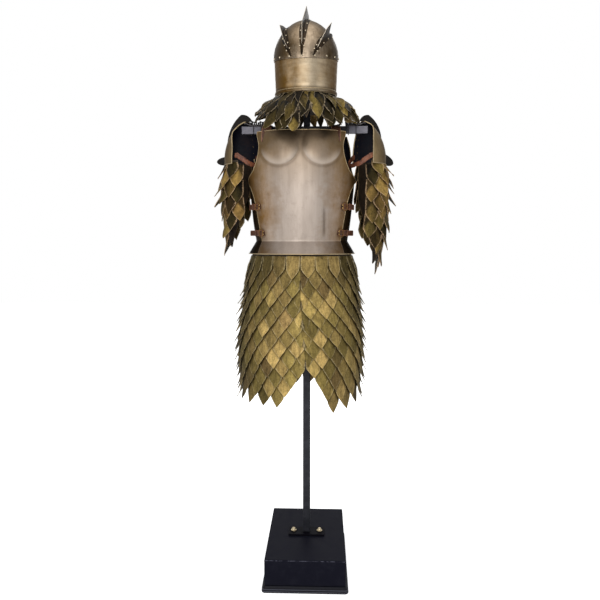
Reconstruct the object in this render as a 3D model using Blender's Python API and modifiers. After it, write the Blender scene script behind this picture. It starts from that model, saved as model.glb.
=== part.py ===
"""A suit of plate armour with leather scales, shown on its iron and wood stand.

Metres, +Z up. The origin is the middle of the base's underside. The suit faces -Y,
and +X is on the right of someone who looks at its front.
"""

import math
from typing import NamedTuple

import bmesh
import bpy
from mathutils import Matrix, Vector

# Clearances and walls
SEAM = 0.0003  # between two pieces that touch
PLATE = 0.0016  # sheet metal
FIN_PLATE = 0.0024
LEATHER = 0.0022  # backing of the scales
SCALE_LIFT = 0.0022  # how far one scale stands on the next
STRAP = 0.0030

# Base and stand
BASE_WIDTH, BASE_DEPTH, BASE_HEIGHT = 0.264, 0.409, 0.107
MOULDING_OUT, MOULDING_HEIGHT = 0.009, 0.020
FOOT_WIDTH, FOOT_DEPTH, FOOT_THICK = 0.125, 0.060, 0.006
BOLT_SPACING, BOLT_RADIUS, BOLT_HEIGHT = 0.091, 0.0075, 0.011
TUBE = 0.025
POST = 0.022
BAR_MIDDLE_X, BAR_HALF, BAR_DEPTH, BAR_HEIGHT, BAR_Z = -0.008, 0.210, 0.012, 0.0245, 1.502
REST_RADIUS, REST_DOME, REST_HEIGHT = 0.030, 0.020, 0.030

# Helmet, in its own frame: the empty that carries it is turned
HELMET_X, HELMET_TURN = -0.003, math.radians(-4.8)
SKULL_SIDE, SKULL_FRONT = 0.1065, 0.1235
SEAM_Z, SEAM_SLOPE = 1.723, 0.148  # the skull's lower edge drops towards the front
RIM_Z, RIM_SLOPE = 1.6105, 0.0625
BAND_TOP_SIDE, BAND_RIM_SIDE = 0.1040, 0.0995
OVERLAP = 0.015
CROWN_Z = 1.853
CROWN_POWER, CROWN_ROUND = 1.8, 0.55
ROUND_STEPS = 28
FIN_TURN = math.radians(-3.6)
FIN_CLEAR = 0.993  # the fins' feet clear the skull by this share of its radius
RIM_ROLL = 0.0035

# Cuirass and skirt hang a little to the left of the pole
HANG_X = -0.017
SKIRT_LEAN = 0.007  # how much further left its hem hangs than its top
SKIRT_LENGTH = 0.5
WAIST_Z, LIP_Z, FLANGE_FLARE = 1.134, 1.092, 0.60
PLATE_TOP_Z = 1.487
SHOULDER_STRAP_X = 0.112
TORSO_SQUARE = 0.92  # below 1 gives fuller corners
CHEST_SIDE, CHEST_Z, CHEST_RADIUS, CHEST_RISE = 0.068, 1.437, 0.064, 0.012
SIDE_LAP = 0.10  # radians by which the backplate runs under the breastplate
LAP_GAP = 0.0008

# Pauldrons
PAULDRON_MIDDLE_X, PAULDRON_SIDE = -0.0075, 0.1925
PAULDRON_TURN = math.radians(30.5)  # the domes have swung back on the bar
DOME_OUT, DOME_HALF, DOME_UP, DOME_Z, DOME_LOW = 0.0875, 0.058, 0.121, 1.410, 1.390
STRAP_UNDER_CROWN = 0.0046  # how far below a dome's crown its strap meets it

# Scales
SKIRT_COLUMNS, SKIRT_ROW = 12, 0.0315
SKIRT_TOP = 1.045
SKIRT_TUCK_Z, SKIRT_TUCK_IN = 1.106, 0.0090  # its top edge lies inside the flange
SLEEVE_COLUMNS, SLEEVE_ROW, SLEEVE_TOP, SLEEVE_TUCK = 5, 0.0285, 1.383, 0.018
SLEEVE_SPAN = math.radians(122)  # to each side of its outermost line
SLEEVE_NECK, SLEEVE_RADIUS = 0.0455, 0.050  # the neck fits inside the pauldron
SLEEVE_MIDDLE = 0.0345  # how far out its neck is centred
AVENTAIL_COLUMNS = 24
CAP = -2  # the row that is tucked out of sight above row 0


class Section(NamedTuple):
    """One level of the cuirass."""

    height: float
    half_width: float
    front: float
    back: float


TORSO = (
    Section(1.134, 0.1560, 0.112, 0.108),
    Section(1.190, 0.1650, 0.120, 0.114),
    Section(1.250, 0.1715, 0.129, 0.120),
    Section(1.332, 0.1790, 0.138, 0.126),
    Section(1.400, 0.1830, 0.139, 0.128),
    Section(1.450, 0.1800, 0.126, 0.122),
    Section(1.500, 0.1650, 0.104, 0.108),
)

SKIRT = (
    Section(0.560, 0.1900, 0.163, 0.166),
    Section(0.660, 0.1985, 0.163, 0.167),
    Section(0.720, 0.2030, 0.162, 0.167),
    Section(0.780, 0.2045, 0.161, 0.166),
    Section(0.840, 0.2010, 0.158, 0.164),
    Section(0.900, 0.1950, 0.153, 0.160),
    Section(0.970, 0.1860, 0.144, 0.152),
    Section(1.045, 0.1755, 0.1345, 0.142),
)


class Edge(NamedTuple):
    """How far round from the middle of the front a plate's edge lies, in degrees."""

    height: float
    turn: float


BREAST_EDGE = (
    Edge(1.092, 50),
    Edge(1.134, 54),
    Edge(1.200, 56),
    Edge(1.270, 61),
    Edge(1.305, 69),
    Edge(1.332, 84),
    Edge(1.355, 62),
    Edge(1.375, 54),
    Edge(1.400, 49),
    Edge(1.430, 46.5),
    Edge(1.450, 48),
    Edge(1.478, 55),
    Edge(1.487, 57),
)

BACK_EDGE = (
    Edge(1.332, 80),
    Edge(1.350, 102),
    Edge(1.370, 115),
    Edge(1.400, 121),
    Edge(1.440, 122),
    Edge(1.487, 119),
)


class Ring(NamedTuple):
    """One row of the aventail: how far out and how far down it lies."""

    row: float
    side: float
    front: float
    drop: float


AVENTAIL_TOP = 1.599
AVENTAIL = (
    Ring(CAP, 0.0945, 0.1115, -0.022),
    Ring(0, 0.0955, 0.1125, 0.000),
    Ring(1, 0.1210, 0.1400, 0.022),
    Ring(2, 0.1405, 0.1600, 0.046),
    Ring(3, 0.1480, 0.1680, 0.074),
    Ring(4, 0.1485, 0.1690, 0.097),
    Ring(5, 0.1450, 0.1660, 0.116),
)


class Fin(NamedTuple):
    """A riveted blade on the helmet: its foot's turn, its roll and its outline."""

    name: str
    foot: float
    roll: float
    front_rise: float
    tip_back: float
    tip_rise: float
    shoulder_back: float
    shoulder_rise: float
    heel_back: float


HELMET_FINS = (
    Fin("helmet_fin_centre", 0.0, 0.0, 0.094, 0.083, 0.176, 0.122, 0.160, 0.165),
    Fin("helmet_fin_left", -22.5, -28.0, 0.058, 0.050, 0.109, 0.085, 0.095, 0.120),
    Fin("helmet_fin_right", 22.5, 28.0, 0.080, 0.022, 0.109, 0.060, 0.085, 0.105),
)


class Paint(NamedTuple):
    """A material's colour, metalness and roughness."""

    colour: tuple
    metallic: float
    roughness: float


PAINTS = {
    "bronzed steel": Paint((0.42, 0.34, 0.25), 1.0, 0.38),
    "dark fin steel": Paint((0.16, 0.15, 0.13), 0.9, 0.5),
    "olive leather scales": Paint((0.30, 0.25, 0.11), 0.0, 0.6),
    "tan strap leather": Paint((0.30, 0.13, 0.06), 0.0, 0.55),
    "brass": Paint((0.65, 0.50, 0.24), 1.0, 0.35),
    "black lacquered wood": Paint((0.013, 0.014, 0.018), 0.0, 0.35),
    "black iron": Paint((0.03, 0.03, 0.035), 0.6, 0.45),
}


def smooth(rows, place):
    """A table's row at any place, on a curve that runs through the rows given."""
    place = min(max(place, rows[0][0]), rows[-1][0])
    at = max(k for k in range(len(rows) - 1) if rows[k][0] <= place)
    low, high = rows[at], rows[at + 1]
    before, after = rows[max(at - 1, 0)], rows[min(at + 2, len(rows) - 1)]
    span = high[0] - low[0]
    t = (place - low[0]) / span
    values = []
    for column in range(len(low)):
        leave = (high[column] - before[column]) / (high[0] - before[0]) * span
        arrive = (after[column] - low[column]) / (after[0] - low[0]) * span
        rise = high[column] - low[column]
        values.append(
            low[column]
            + leave * t
            + (3 * rise - 2 * leave - arrive) * t**2
            + (leave + arrive - 2 * rise) * t**3
        )
    return type(low)(*values)


def straight(rows, place):
    """The second column of a table at any place, on straight lines between its rows."""
    place = min(max(place, rows[0][0]), rows[-1][0])
    at = max(k for k in range(len(rows) - 1) if rows[k][0] <= place)
    low, high = rows[at], rows[at + 1]
    return low[1] + (high[1] - low[1]) * (place - low[0]) / (high[0] - low[0])


def steps(first, last, count):
    """Evenly spaced values, both ends included."""
    return [first + (last - first) * k / (count - 1) for k in range(count)]


def clear_scene():
    """Remove whatever the file starts with."""
    for thing in list(bpy.data.objects):
        bpy.data.objects.remove(thing, do_unlink=True)


def make_materials():
    """One Principled material for each paint."""
    made = {}
    for name, paint in PAINTS.items():
        material = bpy.data.materials.new(name)
        material.use_nodes = True
        shader = material.node_tree.nodes["Principled BSDF"]
        shader.inputs["Base Color"].default_value = (*paint.colour, 1.0)
        shader.inputs["Metallic"].default_value = paint.metallic
        shader.inputs["Roughness"].default_value = paint.roughness
        material.diffuse_color = (*paint.colour, 1.0)
        made[name] = material
    return made


class Workshop:
    """Holds the collection and materials, and turns meshes and curves into objects."""

    def __init__(self):
        self.collection = bpy.data.collections.new("plate_armour_on_stand")
        bpy.context.scene.collection.children.link(self.collection)
        self.materials = make_materials()

    def empty(self, name, place, turn=0.0):
        """A frame that pieces are parented to."""
        frame = bpy.data.objects.new(name, None)
        frame.location = place
        frame.rotation_euler = (0.0, 0.0, turn)
        self.collection.objects.link(frame)
        return frame

    def add(self, name, data, paint, parent=None):
        """Link a mesh or curve as a named piece."""
        piece = bpy.data.objects.new(name, data)
        data.materials.append(self.materials[paint])
        self.collection.objects.link(piece)
        piece.parent = parent
        return piece

    def block(self, name, size, centre, paint, bevel=0.0):
        """A box with slightly rounded edges."""
        mesh = bpy.data.meshes.new(name)
        form = bmesh.new()
        bmesh.ops.create_cube(form, size=1.0, matrix=Matrix.Diagonal((*size, 1.0)))
        form.to_mesh(mesh)
        form.free()
        piece = self.add(name, mesh, paint)
        piece.location = centre
        if bevel:
            edge = piece.modifiers.new("rounded edges", "BEVEL")
            edge.width = bevel
            edge.segments = 2
        return piece

    def turned(self, name, profile, centre, paint, sides=20):
        """A turned solid from (radius, height) points down its outer side."""
        mesh = bpy.data.meshes.new(name)
        points = [(radius, 0.0, height) for radius, height in profile]
        mesh.from_pydata(points, [(k, k + 1) for k in range(len(points) - 1)], [])
        piece = self.add(name, mesh, paint)
        piece.location = centre
        screw = piece.modifiers.new("turned", "SCREW")
        screw.steps = screw.render_steps = sides
        screw.use_merge_vertices = True
        screw.merge_threshold = 0.00005
        return piece

    def sheet(self, name, rows, thickness, paint, parent=None, closed=False, peak=None):
        """A wall from rows of points that run to the right, seen from outside, going up."""
        count = len(rows[0])
        points = [point for row in rows for point in row]
        around = count if closed else count - 1
        faces = []
        for level in range(len(rows) - 1):
            for k in range(around):
                a, b = level * count + k, level * count + (k + 1) % count
                faces.append((a, b, b + count, a + count))
        if peak is not None:
            points.append(peak)
            top = (len(rows) - 1) * count
            faces += [(top + k, top + (k + 1) % count, len(points) - 1) for k in range(around)]
        mesh = bpy.data.meshes.new(name)
        mesh.from_pydata([tuple(point) for point in points], [], faces)
        mesh.shade_smooth()
        piece = self.add(name, mesh, paint, parent)
        wall = piece.modifiers.new("wall", "SOLIDIFY")
        wall.thickness = thickness
        wall.offset = -1.0
        return piece

    def plate(self, name, outline, thickness, frame, paint, parent=None):
        """A flat plate cut to an outline, in the frame given as a 4 by 4 matrix."""
        curve = bpy.data.curves.new(name, "CURVE")
        curve.dimensions = "2D"
        curve.fill_mode = "BOTH"
        curve.extrude = thickness / 2
        spline = curve.splines.new("POLY")
        spline.points.add(len(outline) - 1)
        for point, (x, y) in zip(spline.points, outline):
            point.co = (x, y, 0.0, 1.0)
        spline.use_cyclic_u = True
        piece = self.add(name, curve, paint, parent)
        piece.matrix_local = frame
        return piece

    def wire_loop(self, name, points, radius, paint, parent=None):
        """A closed loop of round wire."""
        curve = bpy.data.curves.new(name, "CURVE")
        curve.dimensions = "3D"
        curve.bevel_depth = radius
        curve.bevel_resolution = 1
        spline = curve.splines.new("POLY")
        spline.points.add(len(points) - 1)
        for point, place in zip(spline.points, points):
            point.co = (*place, 1.0)
        spline.use_cyclic_u = True
        return self.add(name, curve, paint, parent)

    def raw(self, name, points, faces, paint, parent=None):
        """A piece from its own faces, flat shaded."""
        mesh = bpy.data.meshes.new(name)
        mesh.from_pydata([tuple(point) for point in points], [], faces)
        return self.add(name, mesh, paint, parent)


class ScaleWall:
    """A leather wall whose outside is covered with overlapping pointed scales.

    The scales' corners lie on a diamond lattice. A node is (half columns, row). Each
    scale runs from its top node at level 0, by its side nodes at level 1, to its tip at
    level 2, so that the tip stands on the scales below. Level -1 is the plain inside.
    """

    def __init__(self, surface, columns, closed, lift=SCALE_LIFT, wall=LEATHER):
        self.surface = surface
        self.columns = columns
        self.closed = closed
        self.lift = lift
        self.wall = wall
        self.outer = []
        self.inner = []

    def node(self, half, row):
        """The node's key, wrapped round a closed wall."""
        return (half % (2 * self.columns) if self.closed else half, row)

    def corners(self, half, row):
        """A scale's nodes by name, without those that lie past an open edge or the top."""
        nodes = {"top": (half, row, 0), "left": (half - 1, row + 1, 1)}
        nodes["tip"] = (half, row + 2, 2)
        nodes["right"] = (half + 1, row + 1, 1)
        kept = {}
        for name, (u, v, level) in nodes.items():
            if v < 0 or (not self.closed and not 0 <= u <= 2 * self.columns):
                continue
            kept[name] = (*self.node(u, v), level)
        return kept

    def add_scale(self, half, row):
        """The faces of one scale, outside and inside."""
        c = self.corners(half, row)
        faces = []
        if "top" not in c:
            faces.append((c["left"], c["tip"], c["right"]))
            left, right = c["left"], c["right"]
            cap_left, cap_right = (left[0], CAP, 1), (right[0], CAP, 1)
            faces.append((cap_right, cap_left, left))
            faces.append((cap_right, left, right))
        else:
            if "left" in c:
                faces.append((c["top"], c["left"], c["tip"]))
            if "right" in c:
                faces.append((c["top"], c["tip"], c["right"]))
        self.outer += faces
        self.inner += [tuple((u, v, -1) for u, v, _ in reversed(face)) for face in faces]

    def add_steps(self, scales):
        """The little walls where a scale's lower edges stand on the scales below."""
        keys = {self.node(*scale) for scale in scales}
        for half, row in scales:
            c = self.corners(half, row)
            if "left" in c and self.node(half - 1, row + 1) in keys:
                (lu, lv, _), (tu, tv, _) = c["left"], c["tip"]
                self.quad((tu, tv, 2), (lu, lv, 1), (lu, lv, 0), (tu, tv, 1))
            if "right" in c and self.node(half + 1, row + 1) in keys:
                (ru, rv, _), (tu, tv, _) = c["right"], c["tip"]
                self.quad((ru, rv, 1), (tu, tv, 2), (tu, tv, 1), (ru, rv, 0))

    def quad(self, a, b, c, d):
        """Two outside triangles."""
        self.outer += [(a, b, c), (a, c, d)]

    def rim(self):
        """The faces that close the wall's edges, from the outside to the inside."""
        directed = set()
        for face in self.outer:
            directed |= {(face[k], face[(k + 1) % 3]) for k in range(3)}
        free = [(p, q) for p, q in directed if (q, p) not in directed and p[:2] != q[:2]]
        lowest = {}
        for end in (end for edge in free for end in edge):
            lowest[end[:2]] = min(lowest.get(end[:2], end[2]), end[2])
        faces = []
        for p, q in sorted(free):
            down_p = [(*p[:2], k) for k in range(p[2], lowest[p[:2]] - 1, -1)] + [(*p[:2], -1)]
            down_q = [(*q[:2], k) for k in range(q[2], lowest[q[:2]] - 1, -1)] + [(*q[:2], -1)]
            i = j = 0
            while i < len(down_p) - 1 or j < len(down_q) - 1:
                if (i + 1) * len(down_q) <= (j + 1) * len(down_p) and i < len(down_p) - 1:
                    faces.append((down_q[j], down_p[i], down_p[i + 1]))
                    i += 1
                elif j < len(down_q) - 1:
                    faces.append((down_q[j], down_p[i], down_q[j + 1]))
                    j += 1
                else:
                    faces.append((down_q[j], down_p[i], down_p[i + 1]))
                    i += 1
        return faces

    def point(self, key):
        """Where a lattice corner lies: on the surface, moved along its outward normal."""
        u, row, level = key[0] / 2, key[1], key[2]
        small = 0.02
        across = self.surface(u + small, row) - self.surface(u - small, row)
        down = self.surface(u, row + small) - self.surface(u, row - small)
        outward = down.cross(across).normalized()
        height = -self.wall if level < 0 else level * self.lift
        return self.surface(u, row) + outward * height

    def build(self, present):
        """All points and faces, for the scales whose (half column, row) is present."""
        last = 2 * self.columns - (1 if self.closed else 0)
        scales = [
            (half, row)
            for row in range(-1, 40)
            for half in range(last + 1)
            if (half + row) % 2 == 0 and present(half, row)
        ]
        for half, row in scales:
            self.add_scale(half, row)
        self.add_steps(scales)
        faces = self.outer + self.inner + self.rim()
        keys = sorted({key for face in faces for key in face})
        index = {key: k for k, key in enumerate(keys)}
        points = [self.point(key) for key in keys]
        return points, [tuple(index[key] for key in face) for face in faces]


def power(value, exponent):
    """A power that keeps the sign."""
    return math.copysign(abs(value) ** exponent, value)


def oval(turn, side, front, back, square=1.0):
    """A point round an oval: turn 0 is the middle of the front, and +X comes next."""
    depth = front if math.cos(turn) > 0 else back
    return Vector((side * power(math.sin(turn), square), -depth * power(math.cos(turn), square), 0))


def chest_relief(x, height):
    """How far the two embossed chest domes stand out of the breastplate."""
    rise = 0.0
    for side in (-CHEST_SIDE, CHEST_SIDE):
        below = height < CHEST_Z
        tall = CHEST_RADIUS * (1.0 if below else 1.15)
        away = math.hypot((x - side) / CHEST_RADIUS, (height - CHEST_Z) / tall)
        if away < 1.0:
            rise = max(rise, CHEST_RISE * (1.0 - away ** (3.0 if below else 2.0)))
    return rise


def torso_point(height, turn, inset=0.0):
    """A point on the cuirass, which flares into a flange below the waist."""
    row = smooth(TORSO, height)
    flare = max(0.0, WAIST_Z - height) * FLANGE_FLARE - inset
    point = oval(turn, row.half_width + flare, row.front + flare, row.back + flare, TORSO_SQUARE)
    if math.cos(turn) > 0:
        point.y -= chest_relief(point.x, height) * math.cos(turn)
    point.z = height
    return point


def torso_depth(height, x, inset, face):
    """How far forward (face -1) or back (face 1) the cuirass lies at a place across it."""
    row = smooth(TORSO, height)
    share = min(1.0, x / (row.half_width - inset)) ** (1 / TORSO_SQUARE)
    depth = (row.front if face < 0 else row.back) - inset
    return face * depth * math.cos(math.asin(share)) ** TORSO_SQUARE


def skull_height(x, y):
    """The height of the helmet's outer surface above a place inside its oval."""
    reach = math.hypot(x / SKULL_SIDE, y / SKULL_FRONT)
    share = max(0.0, 1.0 - min(reach, 1.0) ** (1 / CROWN_ROUND)) ** (1 / CROWN_POWER)
    foot = SEAM_Z + OVERLAP + SEAM_SLOPE * y
    return foot + (CROWN_Z - foot) * share


def build_stand(shop):
    """Base, foot plate, bolts, pole, shoulder bar and head rest."""
    middle = (BASE_HEIGHT + MOULDING_HEIGHT + SEAM) / 2
    shop.block(
        "base_moulding",
        (BASE_WIDTH + 2 * MOULDING_OUT, BASE_DEPTH + 2 * MOULDING_OUT, MOULDING_HEIGHT),
        (0, 0, MOULDING_HEIGHT / 2),
        "black lacquered wood",
        0.004,
    )
    block_height = BASE_HEIGHT - MOULDING_HEIGHT - SEAM
    shop.block(
        "base_block",
        (BASE_WIDTH, BASE_DEPTH, block_height),
        (0, 0, middle),
        "black lacquered wood",
        0.003,
    )
    plate_low = BASE_HEIGHT + SEAM
    shop.block(
        "foot_plate",
        (FOOT_WIDTH, FOOT_DEPTH, FOOT_THICK),
        (0, 0, plate_low + FOOT_THICK / 2),
        "black iron",
        0.001,
    )
    top = plate_low + FOOT_THICK + SEAM
    bolt = [(0.0, BOLT_HEIGHT)]
    bolt += [
        (BOLT_RADIUS * math.sin(a), BOLT_HEIGHT - 0.006 * (1 - math.cos(a)))
        for a in steps(math.radians(22.5), math.radians(90), 4)
    ]
    bolt += [(BOLT_RADIUS, 0.003), (BOLT_RADIUS + 0.002, 0.0025), (BOLT_RADIUS + 0.002, 0.0)]
    bolt += [(0.0, 0.0)]
    for side, x in (("left", -BOLT_SPACING / 2), ("right", BOLT_SPACING / 2)):
        shop.turned("base_bolt_" + side, bolt, (x, 0, top), "brass", 12)
    bar_low = BAR_Z - BAR_HEIGHT / 2
    length = bar_low - SEAM - top
    shop.block("pole", (TUBE, TUBE, length), (0, 0, top + length / 2), "black iron", 0.002)
    shop.block(
        "shoulder_bar",
        (2 * BAR_HALF, BAR_DEPTH, BAR_HEIGHT),
        (BAR_MIDDLE_X, 0, BAR_Z),
        "black iron",
        0.001,
    )
    post_low = BAR_Z + BAR_HEIGHT / 2 + SEAM
    rest_top = CROWN_Z - PLATE - SEAM
    post_top = rest_top - REST_HEIGHT - SEAM
    length = post_top - post_low
    shop.block("head_post", (POST, POST, length), (0, 0, post_low + length / 2), "black iron", 0.002)
    rest = [(0.0, 0.0)]
    rest += [
        (REST_RADIUS * math.sin(a), -REST_DOME * (1 - math.cos(a)))
        for a in steps(math.radians(18), math.radians(90), 5)
    ]
    rest += [(REST_RADIUS, -REST_HEIGHT + 0.003), (REST_RADIUS - 0.003, -REST_HEIGHT)]
    rest += [(0.0, -REST_HEIGHT)]
    shop.turned("head_rest", rest, (HELMET_X, 0, rest_top), "black lacquered wood", 20)


def build_helmet(shop, frame):
    """Band with a rolled rim, domed skull and three riveted blades."""
    turns = [2 * math.pi * k / ROUND_STEPS for k in range(ROUND_STEPS)]
    deep = SKULL_FRONT / SKULL_SIDE

    def band_ring(share, out):
        side = BAND_RIM_SIDE + (BAND_TOP_SIDE - BAND_RIM_SIDE) * min(share, 1.0)
        side -= max(0.0, share - 1.0) * 0.006
        row = []
        for turn in turns:
            point = oval(turn, side + out, side * deep + out, side * deep + out)
            low, high = RIM_Z + RIM_SLOPE * point.y, SEAM_Z + SEAM_SLOPE * point.y
            point.z = low + (high - low) * min(share, 1.0) + max(0.0, share - 1.0) * OVERLAP
            row.append(point)
        return row

    roll = ((0.0, 0.3), (0.025, 0.9), (0.055, 1.0), (0.085, 0.8), (0.105, 0.0))
    rows = [band_ring(share, RIM_ROLL * out) for share, out in roll]
    rows += [band_ring(share, 0.0) for share in (0.4, 0.7, 1.0, 1.8)]
    shop.sheet("helmet_band", rows, PLATE, "bronzed steel", frame, closed=True)

    rows = []
    lower = [oval(turn, SKULL_SIDE, SKULL_FRONT, SKULL_FRONT) for turn in turns]
    rows.append([Vector((p.x, p.y, SEAM_Z + SEAM_SLOPE * p.y)) for p in lower])
    for share in (0.0, 0.22, 0.42, 0.60, 0.75, 0.87, 0.95, 0.993):
        reach = (1.0 - share**CROWN_POWER) ** CROWN_ROUND
        ring = [p * reach for p in lower]
        rows.append([Vector((p.x, p.y, skull_height(p.x, p.y))) for p in ring])
    shop.sheet(
        "helmet_skull", rows, PLATE, "bronzed steel", frame, closed=True, peak=(0, 0, CROWN_Z)
    )
    for fin in HELMET_FINS:
        build_helmet_fin(shop, frame, fin)


def build_helmet_fin(shop, frame, fin):
    """One blade: it stands on the skull along a line that runs back from the brow."""
    foot_turn, roll = math.radians(fin.foot), math.radians(fin.roll)
    foot = oval(foot_turn, SKULL_SIDE, SKULL_FRONT, SKULL_FRONT) * 0.985
    foot.z = skull_height(foot.x, foot.y)
    back = Vector((-math.sin(FIN_TURN), math.cos(FIN_TURN), 0.0))
    level = Vector((math.cos(FIN_TURN), math.sin(FIN_TURN), 0.0))
    rise = level * math.sin(roll) + Vector((0, 0, math.cos(roll)))
    side = back.cross(rise)

    def surface_rise(distance):
        low, high = -0.06, 0.30
        for _ in range(40):
            middle = (low + high) / 2
            point = foot + back * distance + rise * middle
            if point.z > skull_height(point.x * FIN_CLEAR, point.y * FIN_CLEAR):
                high = middle
            else:
                low = middle
        return high + 2 * SEAM

    top = [
        (0.002, fin.front_rise),
        ((0.002 + fin.tip_back) * 0.5, fin.front_rise + (fin.tip_rise - fin.front_rise) * 0.52),
        (fin.tip_back, fin.tip_rise),
        ((fin.tip_back + fin.shoulder_back) / 2, (fin.tip_rise * 0.4 + fin.shoulder_rise * 0.6)),
        (fin.shoulder_back, fin.shoulder_rise),
        (fin.heel_back, surface_rise(fin.heel_back) + 0.004),
    ]
    foot_line = [(d, surface_rise(d)) for d in steps(fin.heel_back, 0.002, 16)]
    axes = Matrix((back, rise, side)).transposed().to_4x4()
    axes.translation = foot
    shop.plate(fin.name, top + foot_line, FIN_PLATE, axes, "dark fin steel", frame)


def aventail_surface(u, row):
    """The aventail's surface: it hangs inside the rim and flares over the shoulders."""
    turn = 2 * math.pi * u / AVENTAIL_COLUMNS
    ring = smooth(AVENTAIL, row)
    point = oval(turn, ring.side, ring.front, ring.front)
    stretch = 1.0 + 0.10 * max(0.0, math.cos(turn)) - 0.37 * math.sin(turn) ** 2
    point.z = AVENTAIL_TOP - ring.drop * (stretch if ring.drop > 0 else 1.0)
    return point


def build_aventail(shop, frame):
    """The curtain of leather leaves below the helmet."""
    wall = ScaleWall(aventail_surface, AVENTAIL_COLUMNS, closed=True, lift=0.0015, wall=0.002)
    points, faces = wall.build(lambda half, row: row <= 3)
    shop.raw("aventail", points, faces, "olive leather scales", frame)


def build_cuirass(shop, frame):
    """Breastplate and backplate, lapped at the sides, each with a waist flange."""
    heights = steps(LIP_Z, WAIST_Z, 3) + steps(1.165, 1.300, 5) + [1.320, 1.332]
    heights += [1.350, 1.370, 1.390, 1.410, 1.430, 1.450, 1.470, PLATE_TOP_Z]
    rows = []
    for height in heights:
        edge = math.radians(straight(BREAST_EDGE, height))
        rows.append([torso_point(height, turn) for turn in steps(-edge, edge, 21)])
    shop.sheet("breastplate", rows, PLATE, "bronzed steel", frame)

    rows = []
    inset = PLATE + LAP_GAP
    for height in heights:
        if height < 1.332:
            edge = math.radians(straight(BREAST_EDGE, height)) - SIDE_LAP
        else:
            edge = math.radians(straight(BACK_EDGE, height))
        rows.append([torso_point(height, turn, inset) for turn in steps(edge, 2 * math.pi - edge, 23)])
    shop.sheet("backplate", rows, PLATE, "bronzed steel", frame)


def build_shoulder_strap(shop, frame, side):
    """A leather strap from the breastplate over the bar to the backplate."""
    top = BAR_Z + BAR_HEIGHT / 2 + SEAM + STRAP
    half_bar = BAR_DEPTH / 2 + 0.002
    rows = []
    for across in (0.015, 0.0, -0.015):
        x = SHOULDER_STRAP_X * side + across
        front, back = (
            [torso_depth(height, abs(x), inset, face) for height in (1.452, PLATE_TOP_Z)]
            for inset, face in ((PLATE + LAP_GAP, -1), (2 * PLATE + 2 * LAP_GAP, 1))
        )
        path = [
            (front[0], 1.452),
            (front[1], PLATE_TOP_Z),
            (front[1] * 0.80, 1.502),
            (front[1] * 0.40, 1.5135),
            (-half_bar, top),
            (half_bar, top),
            (back[1] * 0.40, 1.5135),
            (back[1] * 0.80, 1.502),
            (back[1], PLATE_TOP_Z),
            (back[0], 1.452),
        ]
        rows.append([Vector((x, y, z)) for y, z in path])
    name = "shoulder_strap_" + ("right" if side > 0 else "left")
    shop.sheet(name, rows, STRAP, "tan strap leather", frame)


def build_side_strap(shop, frame, side, level, height, turn_front, turn_back, tail):
    """A strap and buckle that close the cuirass at one side."""
    sign = 1 if side == "right" else -1
    out = STRAP + SEAM * 2
    turns = steps(math.radians(turn_front), math.radians(turn_back), 8)
    rows = []
    for z in (height - 0.009, height, height + 0.009):
        row = []
        for k, turn in enumerate(turns):
            lift = out + tail * max(0.0, (k - 4) / 3) ** 2
            point = torso_point(z, turn, -lift)
            row.append(Vector((point.x * sign, point.y, point.z)))
        rows.append(row if sign > 0 else row[::-1])
    shop.sheet(f"side_strap_{level}_{side}", rows, STRAP, "tan strap leather", frame)
    middle = math.radians(turn_front + 5)
    reach = 0.013
    wire = 0.0014
    loop = []
    for along, up in ((-1, -1), (1, -1), (1, 1), (-1, 1)):
        turn = middle + along * 0.009 / 0.17
        point = torso_point(height + up * reach, turn, -(out + wire + SEAM * 2))
        loop.append((point.x * sign, point.y, point.z))
    shop.wire_loop(f"side_buckle_{level}_{side}", loop, wire, "brass", frame)


def dome_point(turn, share):
    """A point on the right pauldron's dome, as (out, along, up) from its middle."""
    reach = (1.0 - share**CROWN_POWER) ** CROWN_ROUND
    return Vector((DOME_OUT * reach * math.cos(turn), DOME_HALF * reach * math.sin(turn), DOME_UP * share))


def shoulder_frame(side):
    """A function that turns (out, along, up) at the shoulder into world places."""
    sign = 1 if side == "right" else -1
    out = Vector((math.cos(PAULDRON_TURN) * sign, math.sin(PAULDRON_TURN), 0))
    along = Vector((-math.sin(PAULDRON_TURN) * sign, math.cos(PAULDRON_TURN), 0))
    middle = Vector((PAULDRON_MIDDLE_X + PAULDRON_SIDE * sign, 0, DOME_Z))
    return lambda p: middle + out * p.x + along * p.y + Vector((0, 0, p.z))


def build_pauldron(shop, side):
    """A domed shoulder plate, open towards the body and below, with two blades."""
    place = shoulder_frame(side)
    sign = 1 if side == "right" else -1
    turns = steps(math.radians(-90), math.radians(90), 13)
    rows = []
    low = [dome_point(turn, 0.0) for turn in turns]
    rows.append([place(Vector((p.x, p.y, DOME_LOW - DOME_Z))) for p in low])
    for share in (0.0, 0.25, 0.46, 0.64, 0.79, 0.91, 0.97):
        rows.append([place(dome_point(turn, share)) for turn in turns])
    if sign < 0:
        rows = [row[::-1] for row in rows]
    shop.sheet(
        "pauldron_" + side, rows, PLATE, "bronzed steel", peak=place(Vector((0, 0, DOME_UP)))
    )
    build_pauldron_fin(shop, side, "top")
    build_pauldron_fin(shop, side, "side")


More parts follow.
